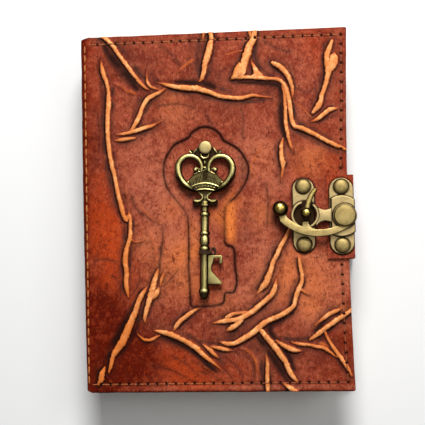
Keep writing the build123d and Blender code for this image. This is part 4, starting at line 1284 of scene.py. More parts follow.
def cover_hide(bm, shape, foot, masks, name, body, node):
    """Give a cover grid its shape and its foot, and make it a piece with its masks."""
    for v, co in zip(bm.verts, np.stack(shape, 1)):
        v.co = co
    face_count = len(bm.verts)
    close_down(bm, foot)
    plain = np.zeros(len(bm.verts) - face_count)
    piece = finish_piece(bm, name, HIDE, body, [node], HIDE_SHARP)
    set_masks(piece, {mask: np.concatenate([values, plain]) for mask, values in masks.items()})


def front_hide():
    bm = cover_grid(*FRONT_GRID)
    refine(bm, detailed)
    x, y, _ = places(bm)
    relief = front_relief(x, y)
    x, y = rounded_corner(x, y)
    z = FRONT_TOP + relief.height - edge_roll(x, y, FRONT_ROLL)
    wave = 0.16 * uneven(x, y, *EDGE_WAVES) * soft_step(outward(x, y), 86, 89)
    shape = (x + wave, y + wave, z)
    cover_hide(bm, shape, HIDE_FOOT, relief.masks, "front_hide", "front_cover", "front_leather")


BACK_SINK = 0.32
BACK_RISE = 0.32
BACK_SEAM = 0.3
STITCH_EDGE = 85.0
BACK_STITCH_LEFT = -62
BACK_STITCH_X = 62.2


def back_hide():
    bm = cover_grid(*BACK_GRID)
    refine(bm, lambda x, y: beside_lines(x, y, BACK_LINES))
    x, y, _ = places(bm)
    relief = plain_relief(x, y, BACK_LINES)
    relief.masks["dusk"] = np.clip(0.25 + 0.5 * uneven(x, y, *BACK_CLOUDS), 0, 1)
    seam = bell(np.minimum(abs(abs(y) - STITCH_EDGE), abs(x - BACK_STITCH_X)), 0.9)
    sunk = BACK_SINK + 0.05 * uneven(x, y, *BACK_WAVES) - BACK_RISE * relief.rise
    z = np.maximum(sunk, 0) + BACK_SEAM * seam + edge_roll(x, y, BACK_ROLL)
    shape = (*rounded_corner(x, y), z)
    cover_hide(bm, shape, LEATHER, relief.masks, "back_hide", "book", "back_leather")


# Folds of the spine

FOLD_SKIN = 1.4
BEND_STEPS = 8
# Rows of the section down the flat of the spine, and cuts along the fold
SPINE_ROWS = 20
FOLD_CUTS = 230
# How far the fold's hide laps on to the cover
FOLD_LAP = 1.0
FOLD_TUCK = 1.2
# How far each fold stands out, and how dark it is
UPPER_PUFF = 1.35
LOWER_PUFF = 0.1
UPPER_DUSK = 0.85
LOWER_DUSK = 0.3
SPINE_DUSK = 0.5
SPINE_RISE = 0.55
# Height over which a fold's shape fades into the flat of the spine
FOLD_FADE = 9


def fold_outline(high):
    """The section of the hide round one fold of the spine, from the cover to the middle of the spine."""
    middle = FOLD_HIGH if high else FOLD_RADIUS
    way = 1 if high else -1
    run = SPINE_MIDDLE - middle
    loops = []
    for radius in (FOLD_RADIUS, FOLD_RADIUS - FOLD_SKIN):
        line = [(x, middle + way * radius) for x in (PANEL_LEFT, PANEL_LEFT - FOLD_LAP)]
        line += arc((FOLD_X, middle), radius, 90 * way, 180 * way, BEND_STEPS)
        shares = np.linspace(1 / SPINE_ROWS, 1.0, SPINE_ROWS)
        line += [(FOLD_X - radius, middle + run * share) for share in shares]
        loops.append(line)
    return loops[0] + loops[1][::-1]


def fold_hide(high):
    """The hide round one fold of the spine, with the spine's wrinkles on its outer face."""
    bm, _ = pushed_out([(x, -HALF_HEIGHT, z) for x, z in fold_outline(high)], (0, 2 * HALF_HEIGHT, 0))
    long_edges = [e for e in bm.edges if abs(e.verts[0].co.y - e.verts[1].co.y) > HALF_HEIGHT]
    bmesh.ops.subdivide_edges(bm, edges=long_edges, cuts=FOLD_CUTS)
    x, y, z = places(bm)
    outer = x < FOLD_X - 0.8 * FOLD_RADIUS
    relief = plain_relief(z, y, SPINE_LINES)
    dusk = []
    crest = []
    for v, lift in zip(bm.verts, SPINE_RISE * relief.rise * outer):
        turn = min(max((FOLD_X + FOLD_LAP - v.co.x) / (FOLD_RADIUS + FOLD_LAP), 0), 1)
        share = v.co.y / HALF_HEIGHT
        wave = noise.noise(Vector((0, v.co.y / 11, 4.0 + high))) + 0.4 * noise.noise(v.co / 4)
        fade = min(abs(v.co.z - SPINE_MIDDLE) / FOLD_FADE, 1)
        puff = UPPER_PUFF * (1 - ((1 - share) / 2) ** 2) if high else LOWER_PUFF
        v.co.y -= FOLD_TUCK * turn * share**9
        v.co.x -= turn * fade * (puff + 0.18 * wave) + lift
        dusk.append((UPPER_DUSK if high else LOWER_DUSK) * turn + 0.25 * wave)
        crest.append(max(0.0, 0.55 * turn * fade - 0.35 + 0.3 * wave))
    masks = dye_masks(x, y) if high else {"dusk": np.full(len(x), SPINE_DUSK)}
    masks["dusk"] = masks["dusk"] + np.array(dusk)
    masks["crest"] = 0.6 * np.array(crest)
    for mask, values in relief.masks.items():
        masks[mask] = np.maximum(masks.get(mask, 0), values * outer)
    name = "upper_fold_hide" if high else "lower_fold_hide"
    piece = finish_piece(bm, name, HIDE, None, ["spine_leather"], HIDE_SHARP)
    set_masks(piece, {mask: np.clip(values, 0, 1) for mask, values in masks.items()})
    blend_fold(piece)


def blend_fold(piece):
    """Bake a piece's place into its mesh."""
    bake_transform(piece)


# Stitches

# Radius of a thread, and half a stitch's length as a share of its pitch
THREAD_RADIUS = 0.28
THREAD_SHARE = 0.43
FOLD_THREAD_RADIUS = 0.42
FOLD_THREAD_SHARE = 0.42
STITCH_BLUNT = 0.7
# How far threads stand off the hide, in front and behind
FRONT_LIFT = 0.1
BACK_LIFT = 0.06
# The row on the upper fold: its ends, its stitches, its way in from the fold's axis, its lean and its drop
FOLD_ROW = (-84.9, 85.2)
FOLD_STITCHES = 36
FOLD_ROW_IN = 0.75
FOLD_ROW_LEAN = 0.22
FOLD_ROW_DROP = 0.1
BACK_ROWS = [
    [(BACK_STITCH_LEFT, STITCH_EDGE), (BACK_STITCH_X, STITCH_EDGE)],
    [(BACK_STITCH_LEFT, -STITCH_EDGE), (BACK_STITCH_X, -STITCH_EDGE)],
    [(BACK_STITCH_X, STITCH_EDGE), (BACK_STITCH_X, -STITCH_EDGE)],
]


def stitch(start, end, lift, radius=THREAD_RADIUS, share=THREAD_SHARE):
    """One stitch: a thread that dips into its hole at both ends."""
    start, end = Vector(start), Vector(end)
    middle = (start + end) / 2
    run = end - start
    turn = run.to_track_quat("X", "Z").to_matrix().to_4x4()
    size = Matrix.Diagonal((run.length * share, radius, radius, 1))
    bm = bmesh.new()
    bmesh.ops.create_uvsphere(
        bm, u_segments=8, v_segments=6, radius=1, matrix=Matrix.Rotation(math.pi / 2, 4, "Y")
    )
    for v in bm.verts:
        v.co.x = math.copysign(abs(v.co.x) ** STITCH_BLUNT, v.co.x)
    bm.transform(Matrix.Translation(middle + Vector((0, 0, lift))) @ turn @ size)
    return bm


def front_stitches(name, rows, finish):
    shapes = []
    for row, first, last in rows:
        holes = HOLES[row][first:last]
        middles = (holes[:-1] + holes[1:]) / 2
        ends = FRONT_TOP + front_relief(*holes.T).height
        tops = FRONT_TOP + front_relief(*middles.T).height
        for i, top in enumerate(tops):
            lift = top - (ends[i] + ends[i + 1]) / 2
            shapes.append(stitch((*holes[i], ends[i]), (*holes[i + 1], ends[i + 1]), lift + FRONT_LIFT))
    finish_piece(joined(shapes), name, finish, "front_cover", ())


def fold_stitches():
    shapes = []
    z = FRONT_TOP - FOLD_ROW_DROP
    ends = np.linspace(*FOLD_ROW, FOLD_STITCHES + 1)
    for a, b in zip(ends, ends[1:]):
        share = (a + b) / 2 / HALF_HEIGHT
        x = FOLD_X - FOLD_ROW_IN - FOLD_ROW_LEAN * share
        shapes.append(stitch((x, a, z), (x, b, z), 0.0, FOLD_THREAD_RADIUS, FOLD_THREAD_SHARE))
    piece = finish_piece(joined(shapes), "fold_stitches", FOLD_THREAD, None, ())
    blend_fold(piece)


def back_stitches():
    shapes = []
    z = THREAD_RADIUS + BACK_LIFT
    for row in BACK_ROWS:
        holes = stitch_holes(row)
        shapes += [stitch((*a, z), (*b, z), 0.0) for a, b in zip(holes, holes[1:])]
    finish_piece(joined(shapes), "back_stitches", STITCH_THREAD, "book", ())


# Leaves

GATHERINGS = 8
LEAVES = 8
LEAF = 0.27
GATHERING = 2.6
GATHERING_HALF = 1.25
BLOCK_FOOT = 3.6
LEAF_FOLD_X = -61.9
LEAF_FORE = 60.0
LEAF_HALF = 85.0
LEAF_CORNERS = [(LEAF_FOLD_X, -LEAF_HALF), (LEAF_FORE, -LEAF_HALF)]
LEAF_CORNERS += [(LEAF_FORE, LEAF_HALF), (LEAF_FOLD_X, LEAF_HALF)]
# Points along a leaf's torn tail, fore-edge and head
TORN_POINTS = (70, 96, 70)
LONG_TEARS = 6
SHORT_TEARS = 1.7
WRAP_STEPS = 10
LEAF_SHARP = 30


def deckle(seed):
    """Outline of one handmade leaf, torn unevenly on three edges."""
    points = []
    for (ax, ay), (bx, by), steps in zip(LEAF_CORNERS, LEAF_CORNERS[1:], TORN_POINTS):
        for i in range(steps):
            x = ax + (bx - ax) * i / steps
            y = ay + (by - ay) * i / steps
            tear = 0.55 + 0.5 * noise.noise(Vector((x / LONG_TEARS, y / LONG_TEARS, seed)))
            tear += 0.3 * noise.noise(Vector((x, y, seed)) / SHORT_TEARS)
            if ax == bx:
                x -= tear
            else:
                y -= math.copysign(tear, y)
            points.append((x, y))
    points.append(LEAF_CORNERS[-1])
    return points


def gathering(number):
    """One sewn gathering of nested folded leaves."""
    middle = BLOCK_FOOT + (GATHERINGS - number + 0.5) * GATHERING
    pitch = 2 * GATHERING_HALF / LEAVES
    shapes = []
    for leaf in range(LEAVES):
        low = middle - GATHERING_HALF + leaf * pitch
        outline = [(x, y, low) for x, y in deckle(number * 10.3 + leaf * 1.7)]
        shapes.append(pushed_out(outline, (0, 0, LEAF))[0])
    for nest in range(LEAVES // 2):
        outer = GATHERING_HALF - nest * pitch
        wrap = arc((LEAF_FOLD_X, middle), outer, 90, 270, WRAP_STEPS)
        wrap += arc((LEAF_FOLD_X, middle), outer - LEAF, 270, 90, WRAP_STEPS)
        half = LEAF_HALF - 0.3 - 0.2 * nest
        shapes.append(pushed_out([(x, -half, z) for x, z in wrap], (0, 2 * half, 0))[0])
    body = "front_leaves" if number == 1 else "book"
    nodes = [f"signature_{number}"]
    finish_piece(joined(shapes), f"gathering_{number}", LEAF_PAPER, body, nodes, LEAF_SHARP)


# Strap

STRAP_LOW_Y, STRAP_HIGH_Y = -25.0, 15.8
STRAP_IN, STRAP_OUT = 66.2, 67.5
STRAP_SPLIT = 15.6
ANCHOR_LEFT, ANCHOR_FOOT, ANCHOR_TOP = 50.0, 1.6, 2.9
TAB_LEFT, TAB_FOOT, TAB_TOP = 54.2, 28.32, 29.6
# Where the strap's section is divided: across its anchor, up its two halves and across its tab
ANCHOR_ROWS = [60, 64]
LOWER_ROWS = [4.2, 6.0, 10.0]
UPPER_ROWS = [20, 24, 27]
TAB_ROWS = [65, 63, 59]
STRAP_STEPS = 6
STRAP_ROUND = 0.22
STRAP_PITCH = 0.8
STRAP_SHARP = 45
# Start and end of each half's bend, across and above the table
LOWER_BEND = ((65.6, 1.8), (67.2, 3.6))
UPPER_BEND = ((67.4, 27.6), (65.4, 29.4))


def strap_piece(name, section, nodes, bodies, start, end):
    """One half of the strap, pushed out from its section."""
    bm, _ = pushed_out([(x, STRAP_LOW_Y, z) for x, z in section], (0, STRAP_HIGH_Y - STRAP_LOW_Y, 0))
    sides = [e for e in bm.edges if abs(e.verts[0].co.y - e.verts[1].co.y) < MERGE]
    round_edges(bm, sides, STRAP_ROUND, 2)
    cut_grid(bm, ((TAB_LEFT + 0.5, STRAP_LOW_Y + 0.4), (STRAP_IN, STRAP_HIGH_Y)), STRAP_PITCH)
    piece = finish_piece(bm, name, HIDE, None, nodes, STRAP_SHARP)
    x, y, z = piece_places(piece)
    gap = near_edge(x, y, long_slot(*HINGE, *HINGE_SIZE))
    # Painted shadow: the tab is black round the hinge plate's edge
    set_masks(piece, {
        "dye_and_shade": 0.85 * soft_step(gap, 1.0, 0.2) * (z > TAB_TOP - 0.5),
        "ember": np.clip(0.25 + 0.03 * (y - 5), 0, 1),
        "dusk": 0.5 * soft_step(np.minimum(x - TAB_LEFT, STRAP_HIGH_Y - y), 0.5, 0.1),
    })
    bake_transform(piece)


def strap():
    wide = STRAP_OUT - STRAP_IN
    lower = [(x, ANCHOR_FOOT) for x in (ANCHOR_LEFT, *ANCHOR_ROWS)]
    lower += arc((STRAP_IN, ANCHOR_TOP), wide, -90, 0, STRAP_STEPS)
    lower += [(STRAP_OUT, z) for z in (*LOWER_ROWS, STRAP_SPLIT)]
    lower += [(STRAP_IN, z) for z in (STRAP_SPLIT, *LOWER_ROWS[::-1], ANCHOR_TOP)]
    lower += [(x, ANCHOR_TOP) for x in (*ANCHOR_ROWS[::-1], ANCHOR_LEFT)]
    strap_piece("strap_lower", lower, ["strap_anchor"], ("book", "strap_side"), *LOWER_BEND)
    upper = [(STRAP_OUT, z) for z in (STRAP_SPLIT, *UPPER_ROWS)]
    upper += arc((STRAP_IN, TAB_TOP - wide), wide, 0, 90, STRAP_STEPS)
    upper += [(x, TAB_TOP) for x in (*TAB_ROWS, TAB_LEFT)]
    upper += [(x, TAB_FOOT) for x in (TAB_LEFT, *TAB_ROWS[::-1], STRAP_IN)]
    upper += [(STRAP_IN, z) for z in (*UPPER_ROWS[::-1], STRAP_SPLIT)]
    strap_piece("strap_upper", upper, ["strap_side", "strap_tab"], ("strap_side", "strap_tab"), *UPPER_BEND)


# Clasp

PLATE_ROUND = 0.5
RIVET_SPREAD = 14.2
DOME_RADIUS = 3.7
DOME = [
    (0, 1.5), (0.8, 1.48), (1.6, 1.4), (2.3, 1.24), (2.85, 0.98), (3.25, 0.68), (3.55, 0.34), (3.7, 0.1),
    (3.7, 0), (0, 0),
]
# Grid on which the plates carry their painted shadow, and the part of each plate that it covers
SHADOW_PITCH = 0.5
CATCH_SHADOW_BOX = ((37.5, -22.2), (48.5, 15.0))
HINGE_SHADOW_BOX = ((55.2, -23.2), (67.6, 14.6))
PAD_SHADOW_BOX = ((56.6, -14.0), (67.8, 5.4))
LEVER_SHADOW_BOX = ((56.0, -10.8), (69.0, 2.2))

# Catch plate, post and horn
CATCH_FOOT = FRONT_TOP - 0.15
CATCH_TOP = 29.2
POST = (44.3, -2.8)
POST_STEM = [(0, 0), (2.4, 0), (2.4, 0.5), (2.1, 0.8), (1.5, 0.95), (1.3, 1.4), (1.3, 5.0), (0, 5.0)]
POST_BALL = 2.8
POST_BALL_Z = 36.1
# Places and radii of the horn, from the middle of the ball
HORN = [
    (0, 0, -2.2, 1.5), (0.35, 2.2, -1.9, 1.5), (0.9, 4.3, -1.6, 1.45), (1.7, 6.6, -1.3, 1.35),
    (2.8, 8.8, -1.0, 1.25), (3.9, 10.4, -0.75, 1.15), (4.7, 11.4, -0.6, 1.05), (4.95, 11.7, -0.58, 0.7),
]

# Hinge plate, its notch for the flap, its knuckles and its pin
HINGE_FOOT = TAB_TOP - 0.1
HINGE_TOP = 30.6
NOTCH = 8.2
NOTCH_RIGHT = 67.4
KNUCKLE_EDGE = 65.7
KNUCKLE_RADIUS = 1.0
KNUCKLE_OUT = 6.35
KNUCKLE_LENGTH = 3.3
KNUCKLE_WEB = (29.65, 30.55)
PIN = (66.9, 30.65)
PIN_LENGTH = 16.2
PIN_RADIUS = 0.5

# Eye flap: its knuckle, its disc with a raised pad, its waist and its split ring
FLAP_FOOT, FLAP_TOP, PAD_TOP = 30.7, 31.7, 32.4
FLAP_KNUCKLE = 9.0
FLAP_WEB_TOP = 31.6
FLAP_ROUND = 0.4
PAD_RADIUS = 10.0
PAD_LEFT, PAD_RIGHT = 56.3, 67.95
PAD_STEPS = 120
PAD_ROUND = 0.45
WAIST_HALF = 2.75
WAIST_CURVE = 5.0
WAIST_ROOT_X = 58.0
WAIST_ROOT_HALF = 4.2
WAIST_STEPS = 12
RING = (43.7, -3.4)
RING_STEPS = 64
EYE_OUT, EYE_IN = 6.9, 5.5
GAP_MIDDLE, RING_GAP = math.radians(78), math.radians(24)

# Boss on the pivot
PIVOT = (62.8, -4.3)
BOSS = 5.15
BOSS_SHAPE = [
    (0, 1.88), (2.4, 1.9), (4.55, 1.9), (4.85, 1.8), (5.05, 1.55), (5.15, 1.2), (5.15, 0.25), (4.9, 0),
    (0, 0),
]
BOSS_STEPS = 56

# Lever, from its pivot: three points of its outer and its inner arc, its hub, its tooth and its end
LEVER_FOOT, LEVER_TOP = 32.45, 33.65
LEVER_ROUND = 0.45
LEVER_STEPS = 34
LEVER_OUTER = [(-31.3, -2.2), (-12.0, -9.9), (4.2, -4.0)]
LEVER_INNER = [(-3.0, -4.4), (-11.5, -6.3), (-27.3, -0.5)]
HUB = 5.85
HUB_TURN = (-43.6, 235.7)
HUB_STEPS = 44
TOOTH = [
    (-14.6, -6.1), (-15.7, -5.6), (-16.7, -4.6), (-17.3, -3.4), (-17.6, -2.3), (-20.4, -2.3), (-20.8, -4.6),
]
TOOTH_LEFT, TOOTH_RIGHT = -21.2, -14.4
LEVER_END = [(-29.4, 3.0), (-32.4, 3.0)]
KNOB = (-31.0, 4.1)
KNOB_Z = 33.55
KNOB_RADIUS = 3.9


def contact_shadow(x, y, middle, radius, wide=0.75):
    """Painted shadow on a plate under a round part that stands over it, and just outside it."""
    reach = np.hypot(x - middle[0], y - middle[1]) - radius
    return soft_step(reach, wide, 0.25 * wide)


def rivet_places(middle):
    """Where the two rivets of a plate stand."""
    return [(middle[0], middle[1] + side * RIVET_SPREAD) for side in (-1, 1)]


def rivet_shadow(x, y, middle):
    """Painted shadow round the two rivets of a plate."""
    return np.maximum(*[contact_shadow(x, y, at, DOME_RADIUS) for at in rivet_places(middle)])


def bronze_piece(bm, name, body, node, finish=PLATE_BRONZE):
    return finish_piece(bm, name, finish, body, [node])


def brass_piece(bm, name, body, node, finish=BALL_BRASS):
    return finish_piece(bm, name, finish, body, [node])


def rivet_domes(name, middle, seat, body, node):
    shapes = [turned(DOME, (*at, seat)) for at in rivet_places(middle)]
    bronze_piece(joined(shapes), name, body, node, DOME_BRONZE)


def barrel(middle, length, radius=KNUCKLE_RADIUS):
    """A round bar on the axis of the pin hinge."""
    bm = bmesh.new()
    place = Matrix.Translation((PIN[0], middle, PIN[1])) @ Matrix.Rotation(math.pi / 2, 4, "X")
    bmesh.ops.create_cone(
        bm, cap_ends=True, segments=24, radius1=radius, radius2=radius, depth=length, matrix=place
    )
    return bm


def knuckle_web(middle, length, low, high):
    """The flat piece that joins a knuckle to its plate."""
    left, right = KNUCKLE_EDGE - KNUCKLE_RADIUS, PIN[0]
    foot, head = middle - length / 2, middle + length / 2
    corners = [(left, foot), (right, foot), (right, head), (left, head)]
    return pushed_out([(x, y, low) for x, y in corners], (0, 0, high - low))[0]


def catch():
    bm = plate(long_slot(*CATCH, *CATCH_SIZE), CATCH_FOOT, CATCH_TOP, PLATE_ROUND)
    cut_grid(bm, CATCH_SHADOW_BOX, SHADOW_PITCH)
    piece = bronze_piece(bm, "catch_plate_cast", "front_cover", "catch_plate")
    x, y, _ = piece_places(piece)
    # Painted shadow under and round the eye's ring, and round the rivets
    set_masks(piece, {"painted_shade_and_tone": np.maximum(contact_shadow(x, y, RING, EYE_OUT, 1.0), rivet_shadow(x, y, CATCH))})
    rivet_domes("catch_rivet_domes", CATCH, CATCH_TOP, "front_cover", "catch_rivets")
    middle = Vector((*POST, POST_BALL_Z))
    shapes = [turned(POST_STEM, (*POST, CATCH_TOP)), ball(middle, POST_BALL, 20)]
    brass_piece(joined(shapes), "catch_post_cast", "front_cover", "catch_post")
    horn = rod([middle + Vector(place) for *place, _ in HORN], [radius for *_, radius in HORN], 4)
    brass_piece(horn, "catch_horn", "front_cover", "catch_post", HORN_BRASS)


def hinge():
    low, high = HINGE[1] - NOTCH, HINGE[1] + NOTCH
    outline = [p for p in long_slot(*HINGE, *HINGE_SIZE) if abs(p[1] - HINGE[1]) > NOTCH]
    outline += [(NOTCH_RIGHT, low), (KNUCKLE_EDGE, low), (KNUCKLE_EDGE, high), (NOTCH_RIGHT, high)]
    bm = plate(outline, HINGE_FOOT, HINGE_TOP, PLATE_ROUND)
    cut_grid(bm, HINGE_SHADOW_BOX, SHADOW_PITCH)
    shapes = [bm]
    for way in (-1, 1):
        middle = HINGE[1] + way * KNUCKLE_OUT
        shapes += [barrel(middle, KNUCKLE_LENGTH), knuckle_web(middle, KNUCKLE_LENGTH, *KNUCKLE_WEB)]
    piece = bronze_piece(joined(shapes), "hinge_plate_cast", "strap_tab", "hinge_plate")
    x, y, _ = piece_places(piece)
    # Painted shadow round the flap's disc, on the plate's right part only, and round the rivets
    painted_shade_and_tone = contact_shadow(x, y, HINGE, PAD_RADIUS)
    painted_shade_and_tone[x < PAD_LEFT - 0.4] = 0
    set_masks(piece, {"painted_shade_and_tone": np.maximum(painted_shade_and_tone, rivet_shadow(x, y, HINGE))})
    rivet_domes("hinge_rivet_domes", HINGE, HINGE_TOP, "strap_tab", "hinge_rivets")
    pin = barrel(HINGE[1], PIN_LENGTH, PIN_RADIUS)
    finish_piece(pin, "hinge_pin_rod", STEEL, "strap_tab", ["hinge_pin"])


def split_ring(low, high, rounding):
    """The ring that drops over the post, with a gap for the horn."""
    chamfer = 0.3 * rounding
    half = [(EYE_OUT, low), (EYE_OUT, high - rounding)]
    half += [(EYE_OUT - chamfer, high - chamfer), (EYE_OUT - rounding, high)]
    section = half + [(EYE_OUT + EYE_IN - r, z) for r, z in reversed(half)]
    bm = bmesh.new()
    bm.faces.new([bm.verts.new((r, 0, z)) for r, z in section])
    bmesh.ops.spin(
        bm, geom=bm.verts[:] + bm.edges[:] + bm.faces[:], cent=(0, 0, 0), axis=(0, 0, 1),
        angle=math.tau - 2 * RING_GAP, steps=RING_STEPS,
    )
    bm.transform(Matrix.Translation((*RING, 0)) @ Matrix.Rotation(GAP_MIDDLE + RING_GAP, 4, "Z"))
    return bm


def disc_part(right):
    """Outline of the flap's disc, cut off at its left and its right."""
    disc = arc(HINGE, PAD_RADIUS, 0, 360, PAD_STEPS)[:-1]
    part = [p for p in disc if PAD_LEFT <= p[0] <= right]
    return sorted(part, key=lambda p: math.atan2(p[1] - HINGE[1], p[0] - HINGE[0]))


def waist():
    """Outline of the flap's waist between its disc and its ring."""
    y = (RING[1] + HINGE[1]) / 2
    x = (RING[0] + EYE_OUT + PAD_LEFT) / 2
    outline = [(WAIST_ROOT_X, y + WAIST_ROOT_HALF)]
    outline += arc((x, y + WAIST_HALF + WAIST_CURVE), WAIST_CURVE, -42, -150, WAIST_STEPS)
    outline += arc(RING, EYE_OUT - 0.2, 38, -42, WAIST_STEPS)
    outline += arc((x, y - WAIST_HALF - WAIST_CURVE), WAIST_CURVE, 150, 42, WAIST_STEPS)
    outline.append((WAIST_ROOT_X, y - WAIST_ROOT_HALF))
    return outline


def eye_flap():
    pad = plate(disc_part(PAD_RIGHT), FLAP_TOP - 0.02, PAD_TOP, PAD_ROUND)
    cut_grid(pad, PAD_SHADOW_BOX, SHADOW_PITCH)
    shapes = [
        plate(disc_part(KNUCKLE_EDGE), FLAP_FOOT, FLAP_TOP, 0.05),
        pad,
        plate(waist(), FLAP_FOOT, FLAP_TOP, FLAP_ROUND),
        split_ring(FLAP_FOOT, FLAP_TOP + 0.03, FLAP_ROUND),
        barrel(HINGE[1], FLAP_KNUCKLE),
        knuckle_web(HINGE[1], FLAP_KNUCKLE, FLAP_FOOT, FLAP_WEB_TOP),
    ]
    piece = bronze_piece(joined(shapes), "eye_flap_cast", "eye_flap", "eye_flap")
    x, y, _ = piece_places(piece)
    # Painted shadow round the lever's hub
    set_masks(piece, {"painted_shade_and_tone": contact_shadow(x, y, PIVOT, HUB, 0.9)})
    boss = turned(BOSS_SHAPE, (*PIVOT, LEVER_TOP + 0.03), BOSS_STEPS)
    bronze_piece(boss, "pivot_boss", "eye_flap", "pivot_rivet", DOME_BRONZE)


def lever():
    inner = arc_through(*LEVER_INNER, LEVER_STEPS)
    outline = arc_through(*LEVER_OUTER, LEVER_STEPS) + arc((0, 0), HUB, *HUB_TURN, HUB_STEPS)[1:]
    outline += [p for p in inner[1:] if p[0] > TOOTH_RIGHT] + TOOTH
    outline += [p for p in inner if p[0] < TOOTH_LEFT] + LEVER_END
    outline = [(PIVOT[0] + x, PIVOT[1] + y) for x, y in outline]
    bm = plate(outline, LEVER_FOOT, LEVER_TOP, LEVER_ROUND)
    cut_grid(bm, LEVER_SHADOW_BOX, SHADOW_PITCH)
    piece = bronze_piece(bm, "swing_lever_cast", "swing_lever", "swing_lever", LEVER_BRONZE)
    x, y, _ = piece_places(piece)
    # Painted shadow round the boss
    set_masks(piece, {"painted_shade_and_tone": contact_shadow(x, y, PIVOT, BOSS, 0.5)})
    knob = ball((PIVOT[0] + KNOB[0], PIVOT[1] + KNOB[1], KNOB_Z), KNOB_RADIUS, 24)
    brass_piece(knob, "lever_knob", "swing_lever", "lever_ball")


# Key, in its own plane from the middle of its rivet, with its shaft down -Y

KEY_RIVET = (-4.5, 31.0)
KEY_HEIGHT = 30.5
KEY_LEAN = -1.5
KEY_PLACE = Matrix.Translation((*KEY_RIVET, KEY_HEIGHT)) @ Matrix.Rotation(math.radians(KEY_LEAN), 4, "Z")
KEY_RIVET_SEAT = 31.3
KEY_RIVET_DOME = [
    (0, 1.02), (1.4, 1.0), (2.5, 0.94), (2.95, 0.82), (3.25, 0.55), (3.38, 0.2), (3.38, 0), (0, 0),
]
SHEET_ROUND = 0.1

# Bow: the bar's radius, and the arcs of its curl and its flank
BAR = 1.75
BOW_STEPS = 26
BOW_START = (2.1, -12.0)
BOW_CURL = (7.6, -10.0)
BOW_CURL_RADIUS = 5.9
BOW_FLANK = (2.4, -10.0)
BOW_FLANK_RADIUS = 11.1
BOW_FOOT = -22.6

# Shaft: radius and place along it, the grooves that hold black, and where it begins
SHAFT = [
    (0, -26.2), (2.2, -26.4), (2.3, -27.2), (2.0, -27.5), (2.6, -27.8), (2.7, -28.4), (2.6, -28.9),
    (1.9, -29.2), (1.75, -29.8), (1.85, -31.0), (1.75, -31.9), (2.45, -32.1), (2.7, -32.5), (2.75, -33.2),
    (2.65, -33.6), (2.1, -33.9), (2.05, -34.4), (2.05, -37.5), (2.1, -41.2), (2.45, -41.5), (2.65, -42.0),
    (2.7, -42.6), (2.5, -43.0), (2.0, -43.3), (2.1, -43.8), (2.45, -45.0), (2.55, -46.1), (2.4, -47.4),
    (1.95, -48.5), (2.4, -48.8), (2.7, -49.3), (2.75, -49.9), (2.6, -50.5), (2.15, -50.8), (2.15, -60.0),
    (2.15, -69.2), (2.45, -69.5), (2.7, -70.0), (2.75, -70.6), (2.75, -71.3), (2.5, -71.8), (2.3, -72.3),
    (1.9, -73.4), (1.2, -74.4), (0, -74.9),
]
SHAFT_GROOVES = (-29.5, -31.9, -33.9, -43.3, -48.5, -50.9)
SHAFT_TOP = -26.0
SHAFT_REACH = 2.9

# Bit, and how far it lies below its outline
BIT = [
    (0.5, -52.6), (8.2, -52.6), (8.8, -53.0), (8.8, -56.7), (7.3, -56.7), (7.3, -54.0), (4.7, -54.0),
    (4.2, -56.2), (3.5, -57.8), (3.35, -59.2), (3.6, -60.4), (8.9, -66.0), (8.8, -66.8), (0.5, -66.8),
]
BIT_DROP = 0.4

# Cord round the shaft: its turns, its spread and its radius, and the small loop beside it
TIE_TURNS = (-51.25, -52.1)
TIE_SPREAD = 2.5
TIE_FOOT = -2.6
CORD_RADIUS = 0.45
TIE_LOOP = (4.15, -50.9, -1.9)
TIE_LOOP_SIZE = (1.05, 1.6, 0.2)


def stroke(points, height, radius, sides=2):
    """A slim bar at one height, with thinner ends."""
    radii = [radius] * len(points)
    radii[0] = radii[-1] = 0.65 * radius
    return rod([Vector((x, y, height)) for x, y in points], radii, sides)


def sheet(outline, low, high):
    """A thin plate with barely rounded edges."""
    return plate(outline, low, high, SHEET_ROUND, 1)


def both_sides(points):
    """Points on one side of the key's middle, and their mirror image in the opposite order."""
    return points, [(-x, y) for x, y in reversed(points)]


def bow_loop(side):
    """One loop of the bow, whose end dips behind the crown."""
    curl = arc(BOW_CURL, BOW_CURL_RADIUS, 192, 0, BOW_STEPS)
    flank = arc(BOW_FLANK, BOW_FLANK_RADIUS, 0, -92.6, BOW_STEPS)
    path = [(side * x, y) for x, y in [BOW_START] + curl + flank[1:]]
    steps = range(len(path))
    radii = np.interp(steps, [0, 6, 15, 27, 42, 47, len(path)], [0.9, 1.15, 1.35, BAR, BAR, 1.3, 1.2])
    heights = np.interp(steps, [0, 42, 47, len(path)], [0.1, 0.1, -1.3, -1.4])
    return rod([Vector((x, y, z)) for (x, y), z in zip(path, heights)], radii, 5)


def crown_line(start, half, drop, steps=17):
    """Points of a line across the crown that is highest in its middle."""
    return [(half * s, start - drop * s * s) for s in np.linspace(-1, 1, steps)]


